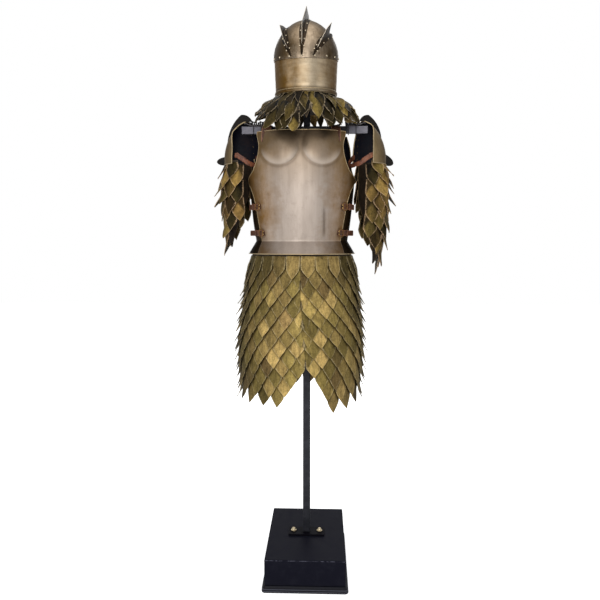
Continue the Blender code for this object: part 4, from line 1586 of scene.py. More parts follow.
    def build_blade(self, shop: Workshop, blade: Blade) -> None:
        """A blade: a ruled surface from its foot to its outline, thinner to its edge, with flanges.

        Args:
            shop: Makes the pieces.
            blade: The blade.
        """
        foot, back, rise, side = self.blade_frame(blade)
        (tip_back, tip_rise), (shoulder_back, shoulder_rise) = blade.tip, blade.shoulder
        heel = self.surface_rise(blade, np.array([blade.heel]))[0] + 0.004
        front = np.array([
            (0.0, 0.002, blade.front_rise),
            (0.25, (0.002 + tip_back) * 0.5, blade.front_rise + (tip_rise - blade.front_rise) * 0.50),
            (0.5, tip_back, tip_rise),
        ])
        rear = np.array([
            (0.5, tip_back, tip_rise),
            (0.66, (tip_back + shoulder_back) / 2, tip_rise * 0.42 + shoulder_rise * 0.58),
            (0.82, shoulder_back, shoulder_rise),
            (1.0, blade.heel, heel),
        ])
        t = np.concatenate([np.linspace(0, 0.5, 18), np.linspace(0.5, 1.0, 20)[1:]])
        top = np.where((t <= 0.5)[:, None], smooth(front, t), smooth(rear, t))[:, 1:]
        distance = 0.0003 + (blade.heel - 0.0003) * t**1.7
        low = np.stack([distance, self.surface_rise(blade, distance) + 0.0006], -1)
        low[0] = (0.0004, -0.012)
        flat, gap = ruled(low, top, 12)
        gap = np.minimum(gap, np.maximum(flat[..., 0] - 0.0005, 0))
        half = side * (self.blade_half * (0.40 + 0.60 * np.clip(gap / 0.006, 0, 1)))[..., None]
        centre = foot + back * flat[..., :1] + rise * flat[..., 1:]
        form = Form()
        near, far = self.placed(centre + half), self.placed(centre - half)
        add_wall(form, near, far, worn=np.clip(1 - gap / 0.0045, 0, 1))
        self.add_flanges(form, blade, distance[:-2])
        finishes = ("dark blade steel", "dark flange steel", "pale rivet steel")
        shop.dressed(blade.name, form, Slot.FIN, *finishes, sharp=30.0)

    def add_flanges(self, form: Form, blade: Blade, distance: Points) -> None:
        """Add an angle strip on each side of a blade's foot: up the blade, round, and out on the skull.

        Args:
            form: Takes the faces.
            blade: The blade.
            distance: How far back along the blade.
        """
        foot, back, rise, side = self.blade_frame(blade)

        def line(away: Points) -> Points:
            """Points where the blade meets the skull."""
            return foot + back * away[:, None] + rise * self.surface_rise(blade, away)[:, None]

        below = foot + rise * np.array([[-0.0125], [-0.009], [-0.005], [0.0]])
        path = np.concatenate([below, line(distance)[1:]])
        slim = 0.10 + 0.90 * ease(np.linspace(0, 1, len(path)), 0.0, 0.45) ** 0.6
        along = np.linspace(0.13, 0.95, blade.pairs) ** 2.4 * distance[-1] + distance[0]
        for sign in (-1, 1):
            ground, out = self.onto_skull(path + side * (self.flange[:, :1] * slim * sign)[..., None])
            lean = unit(out - np.sum(out * side, -1, keepdims=True) * side)
            grid, inner = ground + lean * self.flange[:, 1:, None], ground - lean * 0.0004
            worn = np.clip(1 - border_distance(grid) / 0.0025, 0, 1) * 0.5
            add_wall(form, self.placed(grid), self.placed(inner), Faces(1, 1, 1), worn=worn)
            offset = np.linspace(0.0062, 0.0092, blade.pairs)[:, None] * sign
            self.add_rivets(form, *self.onto_skull(line(along) + side * offset), 0.0027, 0.0021, 0.0014)

    def build(self, shop: Workshop) -> None:
        """Build the whole helmet.

        Args:
            shop: Makes the pieces.
        """
        self.build_band(shop)
        self.build_skull(shop)
        for blade in self.blades:
            self.build_blade(shop, blade)


@dataclass
class Collar:
    """The curtain of leather leaves below the helmet's rim."""

    helmet: Helmet
    columns: int = 24
    top: float = 1.599
    flat: tuple[float, float] = (0.98, 0.13)
    round_top: float = 0.65
    drop: float = 0.085
    hem: Points = table(
        (-180, 2.5), (-140, 2.5), (-112, 3.4), (-96, 4.4), (-84, 5.2), (-66, 5.2), (-60, 3.6), (-38, 3.6),
        (-33, 5.4), (-7, 5.4), (-5, 3.9), (5, 3.9), (7, 4.7), (10, 4.7), (12, 3.5), (28, 3.5), (31, 5.4),
        (84, 5.4), (98, 4.4), (112, 3.4), (140, 2.5), (180, 2.5),
    )
    rings: Points = table(
        (-2, 0.0945, 0.1115, -0.022), (0, 0.0955, 0.1125, 0.000), (1, 0.1210, 0.1400, 0.022),
        (2, 0.1405, 0.1600, 0.046), (3, 0.1480, 0.1680, 0.074), (4, 0.1485, 0.1690, 0.097),
        (5, 0.1450, 0.1660, 0.116),
    )

    def surface(self, u: Points, row: Points) -> Points:
        """Rings that widen down the table, hung lower in front and higher at the sides.

        Args:
            u: Columns.
            row: Rows.

        Returns:
            Points in the suit's frame.
        """
        turn = 2 * np.pi * u / self.columns
        _, side, front, down = np.moveaxis(smooth(self.rings, row), -1, 0)
        stretch = 1 + 0.10 * np.maximum(0, np.cos(turn)) - 0.37 * np.sin(turn) ** 2
        z = self.top - down * np.where(down > 0, stretch, 1.0)
        return self.helmet.placed(lifted(oval(turn, side, front, front), z))

    def lowest(self, half: Points) -> Points:
        """The row of the lowest tips round the neck: low in front but for three gaps, short behind."""
        return np.interp((half * 180 / self.columns + 180) % 360 - 180, self.hem[:, 0], self.hem[:, 1])

    def build(self, shop: Workshop) -> None:
        """The backing wall and its leaves.

        Args:
            shop: Makes the pieces.
        """
        turns = np.arange(96) / 96 * self.columns
        row = -2 + (self.lowest(2 * turns) - 1.5 + 2) * np.linspace(1, 0, 16)[:, None]
        heads = lattice(2 * self.columns - 1, 3, lambda half, row: row + 2.28 <= self.lowest(half))
        # a random draw by leaf that picks the leaves painted bright as highlights
        bright = np.random.default_rng(5).uniform(0, 1, len(heads))
        leaves = LeafField(
            self.surface, 11, lift=0.0036, curl=0.0026, wild=2.4, tones=(0.70, 1.30), sway=0.50,
            length=1.16, cup=2.2, short=0.84, fold=0.40,
            spikes=lambda at: np.where(at[:, 1] < 1, -0.009, 0.002),
            # painted light: about a fifth of the leaves painted bright as highlights, the rest dark, and the
            # top row halved again as painted shade under the rim
            shade=lambda at: np.where(bright > 0.80, 0.74, 0.06 + 0.22 * bright)
            * np.where(at[:, 1] < 0, 0.5, 1.0),
        )
        area = 0.5 * (self.round_top + self.flat[0]) * self.drop
        scales = Scales("collar_{}", "aventail", self.flat, area, "helmet_band", "collar leaf leather")
        scales.build(shop, self.surface(turns, row), leaves, heads, closed=True)


# ---------------------------------------------------------------- cuirass


@dataclass
class Cuirass:
    """Breastplate and backplate: ovals whose size follows a table of heights, flared at the waist."""

    hang_x: float = -0.017
    waist_z: float = 1.134
    lip_z: float = 1.092
    corner_z: float = 1.332
    flare: float = 0.60
    top_z: float = 1.487
    square: float = 0.92
    plate: float = 0.0016
    lap: float = 0.0008
    chest_x: float = 0.068
    chest_z: float = 1.437
    chest_radius: float = 0.064
    chest_rise: float = 0.012
    trough_x: float = 0.0755
    back_lap: float = 0.10
    strap: float = 0.0030
    strap_x: float = 0.112
    strap_low: float = 1.452
    strap_width: float = 0.030
    side_strap_width: float = 0.018
    buckle_width: float = 0.0085
    buckle_height: float = 0.0130
    sections: Points = table(
        (1.134, 0.1560, 0.112, 0.108), (1.190, 0.1650, 0.120, 0.114), (1.250, 0.1715, 0.129, 0.120),
        (1.332, 0.1790, 0.138, 0.126), (1.400, 0.1830, 0.139, 0.128), (1.450, 0.1800, 0.126, 0.122),
        (1.500, 0.1650, 0.104, 0.108),
    )
    front_low: Points = table((1.092, 50), (1.134, 54), (1.200, 56), (1.270, 61), (1.305, 69), (1.332, 84))
    front_high: Points = table(
        (1.332, 84), (1.355, 62), (1.375, 54), (1.400, 49), (1.430, 46.5), (1.450, 48), (1.478, 55),
        (1.487, 57),
    )
    back_high: Points = table(
        (1.332, 80), (1.350, 100), (1.370, 110), (1.400, 114), (1.440, 115), (1.487, 116)
    )
    dent_places: Points = table(
        (0.014, 1.142, 0.008, 0.0012), (-0.05, 1.20, 0.012, 0.0007), (0.03, 1.30, 0.015, 0.0005),
        (-0.085, 1.30, 0.012, 0.0006),
    )

    def placed(self, points: Points) -> Points:
        """Points of the cuirass's own frame, hung where it hangs."""
        return points + RIGHTWARD * self.hang_x

    def chest(self, x: Points, z: Points) -> Points:
        """Two embossed domes: flat-topped below with a firm lower lip, and fading out above.

        Args:
            x: Places across.
            z: Heights.

        Returns:
            How far each place stands out.
        """
        tall = self.chest_radius * np.where(z < self.chest_z, 1.0, 1.15)
        away = np.hypot((np.abs(x) - self.chest_x) / self.chest_radius, (z - self.chest_z) / tall)
        firm = 2.2 + 1.4 * ease(self.chest_z - z, -0.024, 0.024)
        return self.chest_rise * (1 - np.minimum(away, 1.0) ** firm)

    def lip(self, x: Points, z: Points) -> Points:
        """How much painted light a place gets: up to 1, a painted highlight, on a dome's lower edge and the
        waist crease; below 0, painted shade, under the domes and along the trough.

        Args:
            x: Places across.
            z: Heights.

        Returns:
            A number for each place.
        """
        away = np.hypot(np.abs(x) - self.chest_x, z - self.chest_z) / self.chest_radius
        # painted highlight along each dome's lower edge
        domes = hill(away, 0.92, np.where(away < 0.92, 0.20, 0.05)) * ease(self.chest_z - z, 0.0, 0.045)
        # painted shade just under the domes
        shade = 0.45 * hill(away, 1.06, 0.07) * ease(self.chest_z - z, -0.02, 0.03)
        # painted shade along the trough
        streak = hill(x, self.trough_x, 0.005) * ease(z, 1.13, 1.17) * (1 - ease(z, 1.21, 1.26))
        # plus a painted highlight along the waist crease
        return np.maximum(domes, 0.3 * hill(z, self.waist_z, 0.0026)) - shade - 0.8 * streak

    def dents(self, x: Points, z: Points) -> Points:
        """Wear in the metal: one long shallow trough to the right and a few small dents.

        Args:
            x: Places across.
            z: Heights.

        Returns:
            How deep each place lies.
        """
        trough = 0.0010 * hill(x, self.trough_x, 0.0045) * ease(z, 1.13, 1.16) * (1 - ease(z, 1.225, 1.26))
        small = (depth * hill(x, dx, size) * hill(z, dz, size) for dx, dz, size, depth in self.dent_places)
        return trough + sum(small)

    def point(self, z: Points, turn: Points, inset: float = 0.0, relief: bool = True) -> Points:
        """A point on the plates.

        Args:
            z: Height.
            turn: Angle round.
            inset: How far inside the outer surface.
            relief: Whether the chest is embossed.

        Returns:
            Points in the cuirass's frame.
        """
        z, turn = np.broadcast_arrays(z, turn)
        under = self.waist_z - z
        flare = 0.5 * (under + np.sqrt(under**2 + 0.0016**2)) * self.flare - inset
        side, front, back = np.moveaxis(smooth(self.sections, z)[..., 1:] + flare[..., None], -1, 0)
        x, y = np.moveaxis(oval(turn, side, front, back, self.square), -1, 0)
        if relief:
            y = y - (self.chest(x, z) - self.dents(x, z)) * np.maximum(0.0, np.cos(turn))
            y = y - 0.0022 * hill(x, 0.0, 0.014) * ease(z, 1.15, 1.22) * (np.cos(turn) < -0.5)
        return np.stack([x, y, z], -1)

    def edge(self, z: Points, high: Points, lap: float = 0.0) -> Points:
        """How far round a plate's edge lies, in radians: under the armhole less a lap, then by a table."""
        low = smooth(self.front_low, z)[..., 1] - math.degrees(lap)
        return np.radians(np.where(z <= self.corner_z, low, smooth(high, z)[..., 1]))

    def heights(self, count: int) -> Points:
        """Heights that are dense at the flange's crease, the armhole's corner and the top.

        Args:
            count: About how many.

        Returns:
            Heights from the flange's lip to the top.
        """
        stops = (self.lip_z, self.waist_z - 0.006, self.waist_z + 0.006, 1.300, 1.365, self.top_z)
        spans = zip(stops, stops[1:], (1, 1, 1, 2, 3))
        return np.concatenate([*(np.linspace(a, b, count // 6 * n)[:-1] for a, b, n in spans), [self.top_z]])

    def build_front(self, shop: Workshop) -> None:
        """The breastplate, with beaded armholes, neckline and flange.

        Args:
            shop: Makes the pieces.
        """
        z = self.heights(150)
        turn = self.edge(z, self.front_high)[:, None] * (dense_ends(150, 0.25) * 2 - 1)
        plain = self.point(z[:, None], turn)
        grid = self.placed(plain)
        form = Form()
        add_shell(form, grid, self.plate, METAL, worn=0.0035, lip=self.lip(plain[..., 0], plain[..., 2]))
        corner, waist = np.searchsorted(z, (self.corner_z, self.waist_z))
        for column in (0, -1):
            armhole, flank = np.s_[corner:, column], np.s_[waist:corner, column]
            add_beads(form, grid, (armhole, 0.0010, 0.8), (flank, 0.0009, 0.7))
        add_beads(form, grid, (-1, 0.0012, 1.0), (0, 0.0013, 1.0))
        shop.dressed(
            "breastplate", form, Slot.PLATE, "bronzed breastplate", "blue-black inside", "rubbed rim steel"
        )

    def build_back(self, shop: Workshop) -> None:
        """The backplate, which runs under the breastplate at the sides.

        Args:
            shop: Makes the pieces.
        """
        z = self.heights(120)
        start = self.edge(z, self.back_high, self.back_lap)[:, None]
        turn = start + (2 * np.pi - 2 * start) * dense_ends(150, 0.25)
        grid = self.placed(self.point(z[:, None], turn, self.plate + self.lap))
        form = Form()
        add_shell(form, grid, self.plate, METAL, worn=0.0035)
        armholes = [(np.s_[np.searchsorted(z, 1.340) :, column], 0.0015, 1.0) for column in (0, -1)]
        add_beads(form, grid, *armholes, (-1, 0.0016, 1.0), (0, 0.0013, 1.0))
        shop.dressed(
            "backplate", form, Slot.PLATE, "bronzed backplate", "blue-black inside", "rubbed rim steel"
        )

    def depth(self, z: Points, x: float, inset: float, back: bool) -> Points:
        """How far forward or back (y) the plates lie at a place across them.

        Args:
            z: Heights.
            x: Places across.
            inset: How far inside the outer surface.
            back: Whether it is the backplate.

        Returns:
            A y for each height.
        """
        row = smooth(self.sections, z)
        share = np.minimum(1.0, abs(x) / (row[..., 1] - inset)) ** (1 / self.square)
        deep = row[..., 3] - inset if back else inset - row[..., 2]
        return deep * np.cos(np.arcsin(share)) ** self.square

    def build_shoulder_strap(self, shop: Workshop, side: Side) -> None:
        """A strap from the breastplate over the bar to the backplate.

        Args:
            shop: Makes the pieces.
            side: Which side.
        """
        x, ends = self.strap_x * side.value, np.array([self.strap_low, self.top_z])
        front_low, front = self.depth(ends, x, self.plate + self.lap, False)
        rear_low, rear = self.depth(ends, x, 2 * (self.plate + self.lap), True)
        line = (
            (front_low, self.strap_low), (front, self.top_z), (front * 0.80, 1.502),
            (front * 0.40, 1.5135), (-0.008, BAR_TOP), (0.008, BAR_TOP), (rear * 0.40, 1.5135),
            (rear * 0.80, 1.502), (rear, self.top_z), (rear_low, self.strap_low),
        )
        path = self.placed(resampled([(x, y, z) for y, z in line], 60))
        form = Form()
        add_strap(form, path, -RIGHTWARD, self.strap_width, self.strap)
        shop.dressed("shoulder_strap_" + side.word, form, Slot.STRAP, "tan strap leather")

    def side_path(self, side: Side, z: float, turn: Points, out: Points) -> Points:
        """Points that stand off the plates at a height, by their turns in degrees."""
        points = [self.point(z, math.radians(at), -off, False) for at, off in zip(turn, out)]
        return self.placed(np.stack(points) * (side.value, 1, 1))

    def build_side_strap(
        self, shop: Workshop, side: Side, level: str, z: float, first: float, last: float, tail: float
    ) -> None:
        """A side strap with its rivets, keeper and buckle.

        Args:
            shop: Makes the pieces.
            side: Which side.
            level: The level's name.
            z: Its height.
            first: The turn where it is riveted, in degrees.
            last: The turn of its free end, in degrees.
            tail: How far its free end stands off.
        """
        share = np.linspace(0, 1, 24)
        lift = 0.0036 + tail * np.maximum(0.0, (share * 7 - 4) / 3) ** 2
        path = self.side_path(side, z, first + (last - first) * share, lift)
        up = UP * side.value
        away = unit(np.cross(np.gradient(path, axis=0), up))
        form, buckle = Form(), Form()
        add_strap(form, path, up, self.side_strap_width, self.strap)
        add_studs(form, path[1] + np.outer((0.0045, -0.0045), UP), away[[1, 1]], 0.0024, 0.0016, 1)
        loop = np.array([(0, -0.0105), (0.0011, -0.0105), (0.0011, 0.0105), (0, 0.0105)])
        ring = path[11] + away[11] * 0.0012 + loop @ np.stack([away[11], UP])
        add_tube(form, resampled(ring, 16), unit(path[1] - path[0]), 0.0016, worn=0.6)
        shop.dressed(f"side_strap_{level}_{side.word}", form, Slot.STRAP, "tan strap leather", "aged brass")
        middle, beyond = self.side_path(side, z, np.array([first + 5, first + 7]), np.array([0.0056, 0.0036]))
        across = unit(beyond - middle)
        across = unit(across - away[5] * np.dot(across, away[5]))
        angle = cycle(32)
        size = signed_power(np.stack([np.cos(angle), np.sin(angle)], -1), 0.55)
        size = size * (self.buckle_width, self.buckle_height)
        add_tube(buckle, middle + size @ np.stack([across, UP]), away[5], 0.0014, 8, True, worn=0.5)
        prong = np.linspace(-self.buckle_width, 0.0098, 8)[:, None] * across + middle + away[5] * 0.0009
        add_tube(buckle, prong, away[5], 0.0009, 6)
        shop.dressed(f"side_buckle_{level}_{side.word}", buckle, Slot.BRASS, "dull buckle brass")

    def build(self, shop: Workshop) -> None:
        """Build plates and straps.

        Args:
            shop: Makes the pieces.
        """
        self.build_front(shop)
        self.build_back(shop)
        for side in Side:
            self.build_shoulder_strap(shop, side)
            self.build_side_strap(shop, side, "upper", 1.245, 48, 78, 0.004)
            self.build_side_strap(shop, side, "lower", 1.160, 46, 84, 0.010)


@dataclass
class Skirt:
    """Two skirt panels of leaves, joined at the middle of the front and back, split below in front."""

    cuirass: Cuirass
    columns: int = 12
    row: float = 0.0315
    top: float = 1.045
    tuck_z: float = 1.106
    tuck_in: float = 0.0090
    lean: float = 0.007
    length: float = 0.5
    twist: float = 0.135
    gather: float = 0.17
    drop: float = 0.020
    flat: tuple[float, float] = (0.57, 0.50)
    area: float = 0.262
    sections: Points = table(
        (0.560, 0.1900, 0.163, 0.166), (0.660, 0.1985, 0.163, 0.167), (0.720, 0.2030, 0.162, 0.167),
        (0.780, 0.2045, 0.161, 0.166), (0.840, 0.2010, 0.158, 0.164), (0.900, 0.1950, 0.153, 0.160),
        (0.970, 0.1860, 0.144, 0.152), (1.045, 0.1755, 0.1345, 0.142),
    )

    def surface(self, side: Side) -> Surface:
        """The panel's surface: ovals from a table of heights, its top drawn inside the flange.

        Args:
            side: Which side.

        Returns:
            Its points as a function of columns and rows.
        """
        sign = side.value

        def point(u: Points, row: Points) -> Points:
            """Points at columns and rows.

            Args:
                u: Columns.
                row: Rows.

            Returns:
                Points in the suit's frame.
            """
            u, row = np.broadcast_arrays(u, row)
            around = u if sign > 0 else self.columns - u
            gathered = self.gather * ease(row, 8.0, 14.0) * hill(around, 0.0, 3.2)
            close = np.where(around < self.columns / 2, gathered, 0.0)
            turn = np.pi * around * (1 - close) / self.columns * sign + self.twist * ease(row, 0.0, 14.0)
            tucked = np.clip(-row / 2, 0, 1)
            z = self.top - self.row * np.maximum(row, 0) + (self.tuck_z - self.top) * tucked
            if sign > 0:
                z = z - self.drop * ease(row, 9.0, 14.0) * hill(around, 2.0, 1.6)
            flat = oval(turn, *np.moveaxis(smooth(self.sections, z)[..., 1:], -1, 0))
            neck = self.cuirass.point(np.full(z.shape, self.tuck_z), turn, self.tuck_in, False)[..., :2]
            flat = flat + (neck - flat) * tucked[..., None]
            lean = self.lean * (self.top - np.minimum(z, self.top)) / self.length
            return self.cuirass.placed(xyz(flat[..., 0] + sign * 0.0006 - lean, flat[..., 1], z))

        return point

    def build_panel(self, shop: Workshop, side: Side) -> None:
        """One panel: its backing and its leaves, shorter towards the split.

        Args:
            shop: Makes the pieces.
            side: Which side.
        """
        surface, sign, whole = self.surface(side), side.value, 2 * self.columns

        def around(half: Points) -> Points:
            """Half columns from the front seam."""
            return half if sign > 0 else whole - half

        def behind(at: Points) -> Points:
            """The sine of each head's angle from the front."""
            return np.sin(np.pi * around(at[:, 0]) / whole)

        u = np.linspace(0, self.columns, 74)
        hem = np.interp(around(2 * u), [0, 4, whole], [8.9, 12.7, 12.7])
        row = -2 + (hem + 2) * np.linspace(1, 0, 48)[:, None]
        heads = lattice(whole, 12, lambda half, row: row + 2 <= np.minimum(10 + around(half), 14))
        spans = np.tile([-1.0, 1.0], (len(heads), 1))
        spans[heads[:, 0] == 0, 0] = -0.05
        spans[heads[:, 0] == whole, 1] = 0.05
        leaves = LeafField(
            surface, 21 if sign > 0 else 22, lift=0.0036, curl=0.0016, wild=0.8, tones=(0.54, 1.42),
            medial=-0.0024 * sign, part=lambda at: 0.24 + 0.20 * hill(at[:, 1], 5.0, 1.5),
            spikes=lambda at: 0.0075 * behind(at) ** 6 * ease(at[:, 1], -0.5, 2.0),
            # painted shade: a little darker on the right, darker towards the sides and back, in the top rows
            # under the flange and towards the hem
            shade=lambda at: (0.97 - 0.03 * sign) * (1.0 - 0.68 * behind(at) ** 3)
            * (0.62 + 0.38 * ease(at[:, 1], -1.0, 2.5)) * (1.0 - 0.18 * ease(at[:, 1], 8.0, 12.0)),
        )
        what, node = "skirt_{}_" + side.word, "scale_skirt_" + side.word
        scales = Scales(what, node, self.flat, self.area, "breastplate", "olive leaf leather", 0.0020)
        scales.build(shop, surface(u, row), leaves, heads, spans)

    def build(self, shop: Workshop) -> None:
        """Build both panels."""
        for side in Side:
            self.build_panel(shop, side)


# ---------------------------------------------------------------- shoulders


@dataclass
class Shoulder:
    """One side's domed shoulder plate, its blades and straps, and the sleeve that hangs in it."""

    side: Side
    full_rows: int
    middle_x: float = -0.0075
    out_x: float = 0.1925
    turn: float = math.radians(30.5)
    dome_out: float = 0.0875
    dome_half: float = 0.058
    dome_up: float = 0.121
    dome_z: float = 1.410
    dome_low: float = 1.390
    power: float = 1.8
    round: float = 0.55
    plate: float = 0.0016
    columns: int = 5
    row: float = 0.0285
    sleeve_top: float = 1.383
    tuck: float = 0.018
    span: float = math.radians(122)
    neck: float = 0.0455
    radius: float = 0.050
    sleeve_middle: float = 0.0345
    rear_cut: float = 3.0
    flat_width: float = 0.21
    flat_share: float = 0.72
    blade_half: float = 0.0012
    strap_width: float = 0.018
    strap: float = 0.0030
    loop_z: float = 1.5035
    loop_places: tuple[float, float] = (-0.047, -0.022)
    cord_turns: int = 7
    front_cut: Points = table(
        (0.0, -75, -87), (0.2, -75, -86), (0.4, -69, -83), (0.6, -56, -77), (0.8, -30, -60),
        (0.92, -26, -35), (1.0, -25, -25),
    )

    def placed(self, points: Points) -> Points:
        """(out, along, up) at the shoulder, as places in the suit's frame.

        Args:
            points: The points.

        Returns:
            Points in the suit's frame.
        """
        sign = self.side.value
        out = np.array([math.cos(self.turn) * sign, math.sin(self.turn), 0])
        along = np.array([-math.sin(self.turn) * sign, math.cos(self.turn), 0])
        middle = np.array([self.middle_x + self.out_x * sign, 0, self.dome_z])
        return middle + points[..., :1] * out + points[..., 1:2] * along + points[..., 2:] * UP

    def dome_point(self, turn: Points, share: Points) -> Points:
        """The dome: a half oval drawn in by a power of the rise.

        Args:
            turn: Angles round.
            share: How far up, from 0 to 1.

        Returns:
            Points as (out, along, up).
        """
        reach = np.maximum(1 - np.maximum(share, 0.0) ** self.power, 0.0) ** self.round
        out, along = self.dome_out * reach * np.cos(turn), self.dome_half * reach * np.sin(turn)
        return xyz(out, along, self.dome_up * share)

    def build_dome(self, shop: Workshop) -> None:
        """The dome, its front and rear edges rolled, with rivets along the rear one.

        Args:
            shop: Makes the pieces.
        """
        right = self.side is Side.RIGHT
        share = np.append(np.sin(np.linspace(0, np.pi / 2, 44)[:-1]), 0.99985)
        start, end = smooth(self.front_cut, share)[:, 2 if right else 1][:, None], 90.0 if right else 104.0
        rings = self.dome_point(np.radians(dense_ends(64, 0.3) * (end - start) + start), share[:, None])
        low = np.linspace(self.dome_low - self.dome_z, -0.004, 4)[:, None]
        grid = self.placed(np.concatenate([lifted(rings[0], low), rings]))
        grid = grid if right else grid[:, ::-1]
        normal = grid_normals(grid)
        normal[-2:] = UP
        near = np.clip(1 - border_distance(grid) / 0.004, 0, 1)
        near[-8:] = np.minimum(near[-8:], 0.2)
        form = Form()
        add_wall(form, grid, grid - normal * self.plate, METAL, worn=near)
        add_beads(form, grid, *((np.s_[:-3, column], 0.0019, 0.9) for column in (0, -1)), (0, 0.0014, 0.8))
        rear = self.dome_point(np.radians(81.0), np.array([0.02, 0.2, 0.38, 0.55, 0.70, 0.83]))
        out = self.placed(xyz(0.6, math.sin(math.radians(84.0)), rear[:, 2] * 4)) - self.placed(np.zeros(3))
        add_studs(form, self.placed(rear), out, 0.0028, 0.0020, 3)
        finishes = ("bronzed shoulders", "blue-black inside", "rubbed rim steel", "aged brass")
        shop.dressed("pauldron_" + self.side.word, form, Slot.PLATE, *finishes)

    def build_blade(
        self, shop: Workshop, kind: str, shares: Points, tip: tuple[float, float], bulge: float
    ) -> None:
        """A leaf-shaped blade in the dome's upright plane, bowed out from its foot to its tip.

        Args:
            shop: Makes the piece.
            kind: top or side.
            shares: Where its foot starts and ends on the dome's ridge, past 1 beyond the crown.
            tip: Its tip, as (out, up).
            bulge: How far its edges bow out, against their length.
        """
        along = np.linspace(*shares, 22)
        ridge = self.dome_point(0.0, 1 - np.abs(1 - along))[:, [0, 2]]
        ridge[:, 0] *= np.sign(1.0001 - along)
        ridge = ridge + unit(ridge - np.array([0.0, 0.02])) * 0.0008
        first, last, point = ridge[0], ridge[-1], np.array(tip)

        def edge(start: Points, end: Points, t: Points) -> Points:
            """A chord bowed away from the foot's middle by t times 1 - t.

            Args:
                start: Where it starts.
                end: Where it ends.
                t: Places on it, from 0 to 1.

            Returns:
                Points as (out, up).
            """
            away = unit((start + end) / 2 - (first + last) / 2)
            bow = bulge * np.linalg.norm(end - start) * t * (1 - t)
            return start + (end - start) * t[:, None] + away * bow[:, None]

        t = np.linspace(0, 1, 12)
        top = np.concatenate([edge(first, point, t), edge(point, last, t)[1:]])
        places = np.linspace(0, 1, len(top)), np.linspace(0, 1, 22)
        flat, gap = ruled(np.stack([np.interp(*places, ridge[:, k]) for k in (0, 1)], -1), top, 9)
        half = self.blade_half * (0.35 + 0.65 * np.clip(gap / 0.006, 0, 1))
        near, far = (self.placed(xyz(flat[..., 0], across, flat[..., 1])) for across in (-half, half))
        form = Form()
        add_wall(form, near, far, worn=np.clip(1 - gap / 0.004, 0, 1) * 0.8)
        shop.dressed(f"pauldron_fin_{kind}_{self.side.word}", form, Slot.FIN, "black leaf steel", sharp=30.0)

    def build_arm_strap(self, shop: Workshop) -> None:
        """The crumpled strap round the inner side of the arm, inside the dome.

        Args:
            shop: Makes the pieces.
        """
        turn = np.radians(np.linspace(84, 276 if self.side is Side.RIGHT else 284, 48))
        reach = self.dome_half - self.plate - 0.0020
        sag = 0.034 * np.maximum(0.0, -np.cos(turn)) + 0.0010 * np.sin(7 * turn)
        path = self.placed(xyz(reach * 0.78 * np.cos(turn), reach * np.sin(turn), 0.006 - sag))
        share = np.linspace(0, 1, 110)
        lumps = 1 + 0.10 * np.sin(64 * share) * np.sin(17 * share + 1) + 0.07 * np.sin(121 * share)
        form = Form()
        add_tube(form, resampled(path, 110), UP, 0.0022 * lumps, 14, flat=3.5, worn=0.35)
        shop.dressed("arm_strap_" + self.side.word, form, Slot.STRAP, "pale arm leather")

    def build_bar_strap(self, shop: Workshop) -> None:
        """The strap that hangs the dome on the bar, with the loops and rings that hold it there.

        Args:
            shop: Makes the pieces.
        """
        sign = self.side.value
        middle = self.middle_x + self.out_x * sign
        under = self.dome_z + self.dome_up - 0.0046
        rows = (
            (-0.052, BAR_TOP), (-0.036, BAR_TOP), (-0.020, BAR_TOP + 0.0005), (-0.006, (BAR_TOP + under) / 2),
            (0.004, under), (0.010, under - 0.0025),
        )
        form = Form()
        path = resampled([(middle + x * sign, 0.0, z) for x, z in rows], 30)
        add_strap(form, path, BACKWARD * sign, self.strap_width, self.strap)
        sine, cosine = np.sin(cycle(28)), np.cos(cycle(28))
        for offset in self.loop_places:
            x = middle + offset * sign
            loop = xyz(x, 0.0105 * signed_power(sine, 0.6), self.loop_z + 0.0170 * signed_power(cosine, 0.6))
            add_tube(form, loop, unit(loop - np.array([x, 0, self.loop_z])), 0.0013, 6, True, worn=0.2)
            ring = xyz(x + 0.0085 * cosine, 0.004 * sine, self.loop_z + 0.020 + 0.0070 * sine)
            add_tube(form, ring, np.array([0, 1.0, 0.3]), 0.0019, 8, True, finish=1)
        share = np.linspace(0, 1, 150)
        winding, size = 2 * np.pi * self.cord_turns * share, 1 + 0.35 * np.sin(23 * share + 1)
        along = middle + (-0.057 + 0.046 * share) * sign
        cord = xyz(along, 0.0095 * np.sin(winding), 1.5225 + 0.0068 * size * np.cos(winding))
        add_tube(form, cord, RIGHTWARD, 0.0021, 6, worn=0.2)
        shop.dressed(
            "bar_strap_" + self.side.word, form, Slot.STRAP, "black strap leather", "dull black iron"
        )

    def sleeve(self, u: Points, row: Points) -> Points:
        """The sleeve: an arc round the arm, open towards the body, its point hanging in towards it.

        Args:
            u: Columns.
            row: Rows.

        Returns:
            Points in the suit's frame.
        """
        sign = self.side.value
        turn = self.span * (2 * u / self.columns - 1) * sign
        down = np.maximum(row, 0)
        flare = np.minimum(1.0, down / 2)
        radius = self.neck + (self.radius - self.neck) * flare
        centre = self.sleeve_middle + 0.0080 * flare - 0.0012 * down
        height = self.sleeve_top - self.dome_z - np.where(row >= 0, self.row, self.tuck / 2) * row
        inward = (0.0009 if sign > 0 else 0.0003) * np.maximum(row - self.full_rows, 0.0) ** 2 * sign
        arc = self.placed(xyz(centre + radius * np.cos(turn), radius * np.sin(turn), height))
        return arc - RIGHTWARD * inward[..., None]

    def build_sleeve(self, shop: Workshop) -> None:
        """The sleeve's backing and its leaves.

        Args:
            shop: Makes the pieces.
        """
        sign, half, full, word = self.side.value, self.columns, self.full_rows, self.side.word

        def cut(halves: Points) -> Points:
            """How many rows shorter the sleeve is behind, by half column."""
            return self.rear_cut * np.clip((halves - half) * sign / half, 0, 1)

